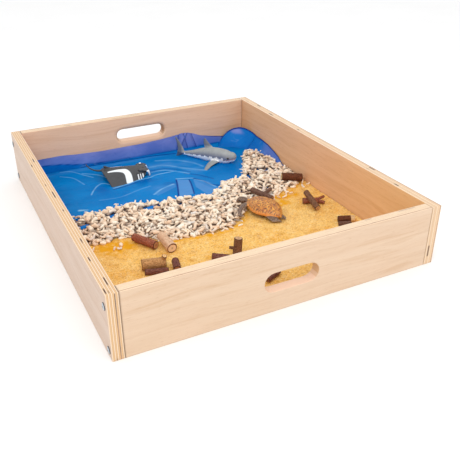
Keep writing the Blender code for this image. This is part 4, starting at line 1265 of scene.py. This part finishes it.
# Name, look, slot, bark roughness, then the stem and any branches: both ends of the axis and the radius at
# each, in millimetres
LOGS = (
    ("log_red", "red", "red_bark", 1.1, ((-202, -71, 22.5), (-168, -130, 21.8), 10, 10.5)),
    ("log_tan", "tan", "tan_bark", 0.3, ((-145, -103, 29), (-141, -163, 23.8), 11, 12.5)),
    ("log_ochre", "ochre", "tan_bark", 0.5, ((-228, -199, 24), (-176, -212, 24), 12.5, 12.5),
     ((-182, -210, 28), (-180, -216, 43), 6, 5.8)),
    ("twig_dark_left", "dark", "red_bark", 0.3, ((-230, -223.5, 18.5), (-180, -237.5, 18.5), 7, 6.5)),
    ("log_short_dark", "dark", "bark", 0.4, ((-153, -209, 20), (-163, -246, 20), 8.5, 9)),
    ("log_chip_dark", "dark", "bark", 0.4, ((-72, -230, 19.5), (-40, -252, 19), 8, 7.5)),
    ("log_stump", "brown", "bark", 0.5, ((-13, -238, 11.2), (-9, -237, 54), 10.8, 9.8),
     ((-14, -236, 28), (-29, -230, 31), 4.5, 3.8)),
    ("twig_forked", "grey", "bark", 0.4, ((168, 24, 28), (196, -40, 22.5), 7.5, 8),
     ((184, -12, 25.5), (218, 6, 27), 5.5, 5)),
    ("log_dark_right", "umber", "red_bark", 0.4, ((282, 56, 31), (337, 35, 26), 11.5, 11.2)),
    ("twig_split", "red", "red_bark", 0.4, ((264, -83, 19.2), (302, -98, 19.2), 8, 7.8),
     ((297, -96, 20), (324, -94.5, 25), 4.6, 3.6), ((297, -96.8, 19), (314, -113, 16.5), 5.4, 4.4)),
    ("twig_crossing", "brown", "bark", 0.3, ((277, -76, 39.7), (275, -138, 20), 7.8, 8.2)),
    ("log_pale_end", "umber", "red_bark", 0.3, ((286, -211.5, 19.7), (325, -226.5, 19.7), 8.5, 8.5)),
    ("twig_front_right", "grey", "bark", 0.3, ((276, -227.5, 16.8), (306, -239, 16.8), 5.5, 5.5)),
    ("twig_front", "dark", "bark", 0.3, ((-8, -368, 17.5), (32, -348, 17.5), 6, 6)),
)
# Dark, light and lichen tones of the bark, its scale, the sawn wood, and the ring round a paler cut
LOG_LOOKS = {
    "red": ((92, 40, 26), (176, 98, 70), (226, 178, 150), 420.0, (190, 136, 96)),
    "umber": ((66, 32, 20), (118, 66, 40), (150, 104, 70), 260.0, (222, 190, 142)),
    "tan": ((196, 156, 124), (226, 190, 158), (168, 124, 96), 150.0, (240, 206, 172), srgb(110, 62, 38)),
    "ochre": ((150, 104, 62), (216, 168, 112), (108, 70, 42), 380.0, (226, 184, 132)),
    "dark": ((76, 38, 32), (132, 80, 66), (170, 140, 126), 300.0, (150, 100, 70)),
    "brown": ((82, 50, 34), (138, 96, 68), (176, 148, 120), 300.0, (208, 166, 124)),
    "grey": ((74, 48, 38), (124, 90, 74), (164, 140, 124), 280.0, (160, 120, 90)),
}
PALE_TIP = 0.011


def stem(name, length, radius_start, radius_end, rough, seed, material, segments=36):
    """A bark-covered stem along Z from the origin, with broken-edged sawn ends."""
    bm = bmesh.new()
    rings = []
    count = max(10, int(length / 0.0014))
    stations = [(0.0, 0.90), (0.0004, 0.97)] + [(length * k / count, 1.0) for k in range(1, count)]
    stations += [(length - 0.0004, 0.97), (length, 0.90)]
    for z, shrink in stations:
        radius = blend(radius_start, radius_end, z / length)
        ring = []
        for k in range(segments):
            angle = 2 * math.pi * k / segments
            c, s = math.cos(angle), math.sin(angle)
            ridge = noise.noise(Vector((c * 3.2 + seed, s * 3.2, z * 260)))
            lump = noise.noise(Vector((c * 1.1, s * 1.1 + seed, z * 45)))
            relief = rough * ridge * (1.0 if shrink == 1.0 else 0.4)
            out = radius * shrink * (1 + 0.045 * lump) + relief - rough * 0.6
            ring.append(bm.verts.new((c * out, s * out, z)))
        rings.append(ring)
    for ring, following in zip(rings, rings[1:]):
        bridge(bm, ring, following)
    for ring, z in ((rings[0], 0.0), (rings[-1], length)):
        previous = ring
        for shrink in (0.88, 0.84, 0.56, 0.28):
            inner = [bm.verts.new((v.co.x * shrink, v.co.y * shrink, z)) for v in ring]
            bridge(bm, previous, inner)
            previous = inner
        bm.faces.new(previous)
    return object_from(bm, name, material)


def mark_cuts(mesh, ends):
    """Paints the sawn ends: points within a hair of an end plane and inside its radius."""
    points = points_of(mesh)
    cut, ring = np.zeros(len(points)), np.zeros(len(points))
    for centre, direction, radius in ends:
        rel, direction = points - np.array(centre), np.array(direction)
        depth = np.abs(rel @ direction)
        out = np.linalg.norm(rel - np.outer(rel @ direction, direction), axis=1)
        cut = np.maximum(cut, (depth < 0.0003) * (out < radius * 0.775))
        ring = np.maximum(ring, (depth < 0.0006) * (out >= radius * 0.775) * (out < radius * 1.1))
    paint(mesh, cut=cut, rim=ring)


def along_axis(start, end):
    """Length of an axis and the matrix that stands a stem on its start."""
    along = Vector(end) - Vector(start)
    return along.length, Matrix.Translation(start) @ along.to_track_quat("Z", "Y").to_matrix().to_4x4()


def build_logs():
    looks = {name: bark_material(name, *tones) for name, tones in LOG_LOOKS.items()}
    for seed, (name, look, slot, rough, trunk, *branches) in enumerate(LOGS):
        start, end, radius_start, radius_end = mm(trunk)
        rough = mm(rough)
        length, matrix = along_axis(start, end)
        log = stem(name + "_bark", length, radius_start, radius_end, rough, seed * 3.7, looks[look])
        ends = [((0, 0, 0), (0, 0, 1), radius_start), ((0, 0, length), (0, 0, 1), radius_end)]
        back = matrix.inverted()
        for index, row in enumerate(branches):
            foot, tip, radius_foot, radius_tip = mm(row)
            foot, tip = back @ Vector(foot), back @ Vector(tip)
            reach, place = along_axis(foot, tip)
            branch = stem(f"{name}_branch_{index}", reach, radius_foot, radius_tip, rough,
                          seed + 11.3 * index, looks[look], 20)
            branch.matrix_world = place
            union = log.modifiers.new(f"branch_{index}", "BOOLEAN")
            union.operation = "UNION"
            union.solver = "EXACT"
            union.object = branch
            bpy.context.view_layer.update()
            mesh = bpy.data.meshes.new_from_object(log.evaluated_get(bpy.context.evaluated_depsgraph_get()))
            log.modifiers.clear()
            log.data = mesh
            bpy.data.objects.remove(branch)
            ends.append((tuple(tip), tuple((tip - foot).normalized()), radius_tip))
        log.data.materials.clear()
        log.data.materials.append(looks[look])
        log.data.shade_smooth()
        log.data.set_sharp_from_angle(angle=math.radians(50))
        mark_cuts(log.data, ends)
        if name == "log_pale_end":
            paint(log.data, cut=points_of(log.data)[:, 2] > length - PALE_TIP)
        log.matrix_world = matrix
        seat(log, name, slot, name)


# ---------------------------------------------------------------- tray

def dress_tray():
    outer_x, front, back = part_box("side_panel_right")[1].x, PANEL_LOW.y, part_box("back_panel")[1].y
    # Outer and inner veneer tones of each panel; the inner tone carries painted warm bounce light
    sides, ends = ((212, 188, 170), (234, 192, 137)), ((222, 195, 168), (236, 200, 172))
    base = ((200, 170, 138), (200, 170, 138))
    looks = {
        "side_panel_left": plywood_material("plywood_left", 1, 0, -outer_x, -INNER_X, *sides, 1.0, 3.1,
                                            9, 1.0),
        "side_panel_right": plywood_material("plywood_right", 1, 0, outer_x, INNER_X, *sides, 0.55, 8.4,
                                             5, 0.25),
        "front_panel": plywood_material("plywood_front", 0, 1, front, INNER_FRONT, *ends, 0.16, 5.2,
                                        hole_shade_tone=(208, 170, 130)),
        "back_panel": plywood_material("plywood_back", 0, 1, back, INNER_BACK, *ends, 0.35, 1.7,
                                       hole_shade_tone=(160, 112, 72)),
        "base_panel": plywood_material("plywood_base", 1, 0, outer_x, INNER_X, *base, 0.5, 6.6),
    }
    steel = steel_material()
    for name, node in NODES.items():
        if name in looks or "screw" in name:
            material = looks.get(name, steel)
            if not node.material_slots:
                node.data.materials.append(material)
            for slot in node.material_slots:
                slot.material = material


# ---------------------------------------------------------------- floor, light and camera

CAMERA_PLACE = (-0.57456, -1.30630, 0.74051)
CAMERA_AZIMUTH, CAMERA_ELEVATION = math.radians(-26.9635), math.radians(28.8338)
CAMERA_LENS = 48.275
LAMPS = (("key", (-1.2, -1.8, 3.0), 2.6, 40.0), ("fill", (2.2, -2.4, 1.8), 2.4, 12.0))


def placed(name, data, place, towards):
    """Links a lamp or camera at a place, facing along a direction."""
    obj = bpy.data.objects.new(name, data)
    bpy.context.scene.collection.objects.link(obj)
    obj.location = place
    obj.rotation_mode = "QUATERNION"
    obj.rotation_quaternion = towards.to_track_quat("-Z", "Y")
    return obj


def build_stage():
    bm = bmesh.new()
    bmesh.ops.create_grid(bm, x_segments=2, y_segments=2, size=30.0)
    graph = Graph("studio_floor")
    faint = graph.ramp(graph.noise(3.0, 2.0, 0.5), (0.3, 0.0), (0.7, 1.0))
    look = graph.finish(graph.surface(graph.mix(faint, (0.93, 0.93, 0.93), (0.95, 0.95, 0.95)), 0.9))
    floor = object_from(bm, "studio_floor", look, Matrix.Translation((0, 0, -0.0004)))
    world = bpy.data.worlds.new("studio")
    bpy.context.scene.world = world
    world.use_nodes = True
    background = world.node_tree.nodes["Background"]
    background.inputs["Color"].default_value = (1.0, 1.0, 1.0, 1.0)
    background.inputs["Strength"].default_value = 1.0
    for name, place, size, energy in LAMPS:
        lamp = bpy.data.lights.new(name, "AREA")
        lamp.size = size
        lamp.energy = energy
        placed(name, lamp, place, Vector((0, 0, 0.05)) - Vector(place))


def build_camera():
    data = bpy.data.cameras.new("camera")
    data.lens = CAMERA_LENS
    data.sensor_width = 36.0
    data.clip_start, data.clip_end = 0.01, 100.0
    level = math.cos(CAMERA_ELEVATION)
    forward = Vector((-math.sin(CAMERA_AZIMUTH) * level, math.cos(CAMERA_AZIMUTH) * level,
                      -math.sin(CAMERA_ELEVATION)))
    bpy.context.scene.camera = placed("camera", data, CAMERA_PLACE, forward)


def main():
    bpy.context.scene.view_settings.view_transform = "Standard"
    build_camera()
    build_stage()
    dress_tray()
    build_sand()
    build_gravel()
    build_liner()
    build_water()
    eye_look = painted_toy("eye_black", (12, 12, 14), 0.18, 500.0, 0.0001, coat=0.8)
    build_ray()
    build_shark(eye_look)
    build_turtle(eye_look)
    build_logs()


main()
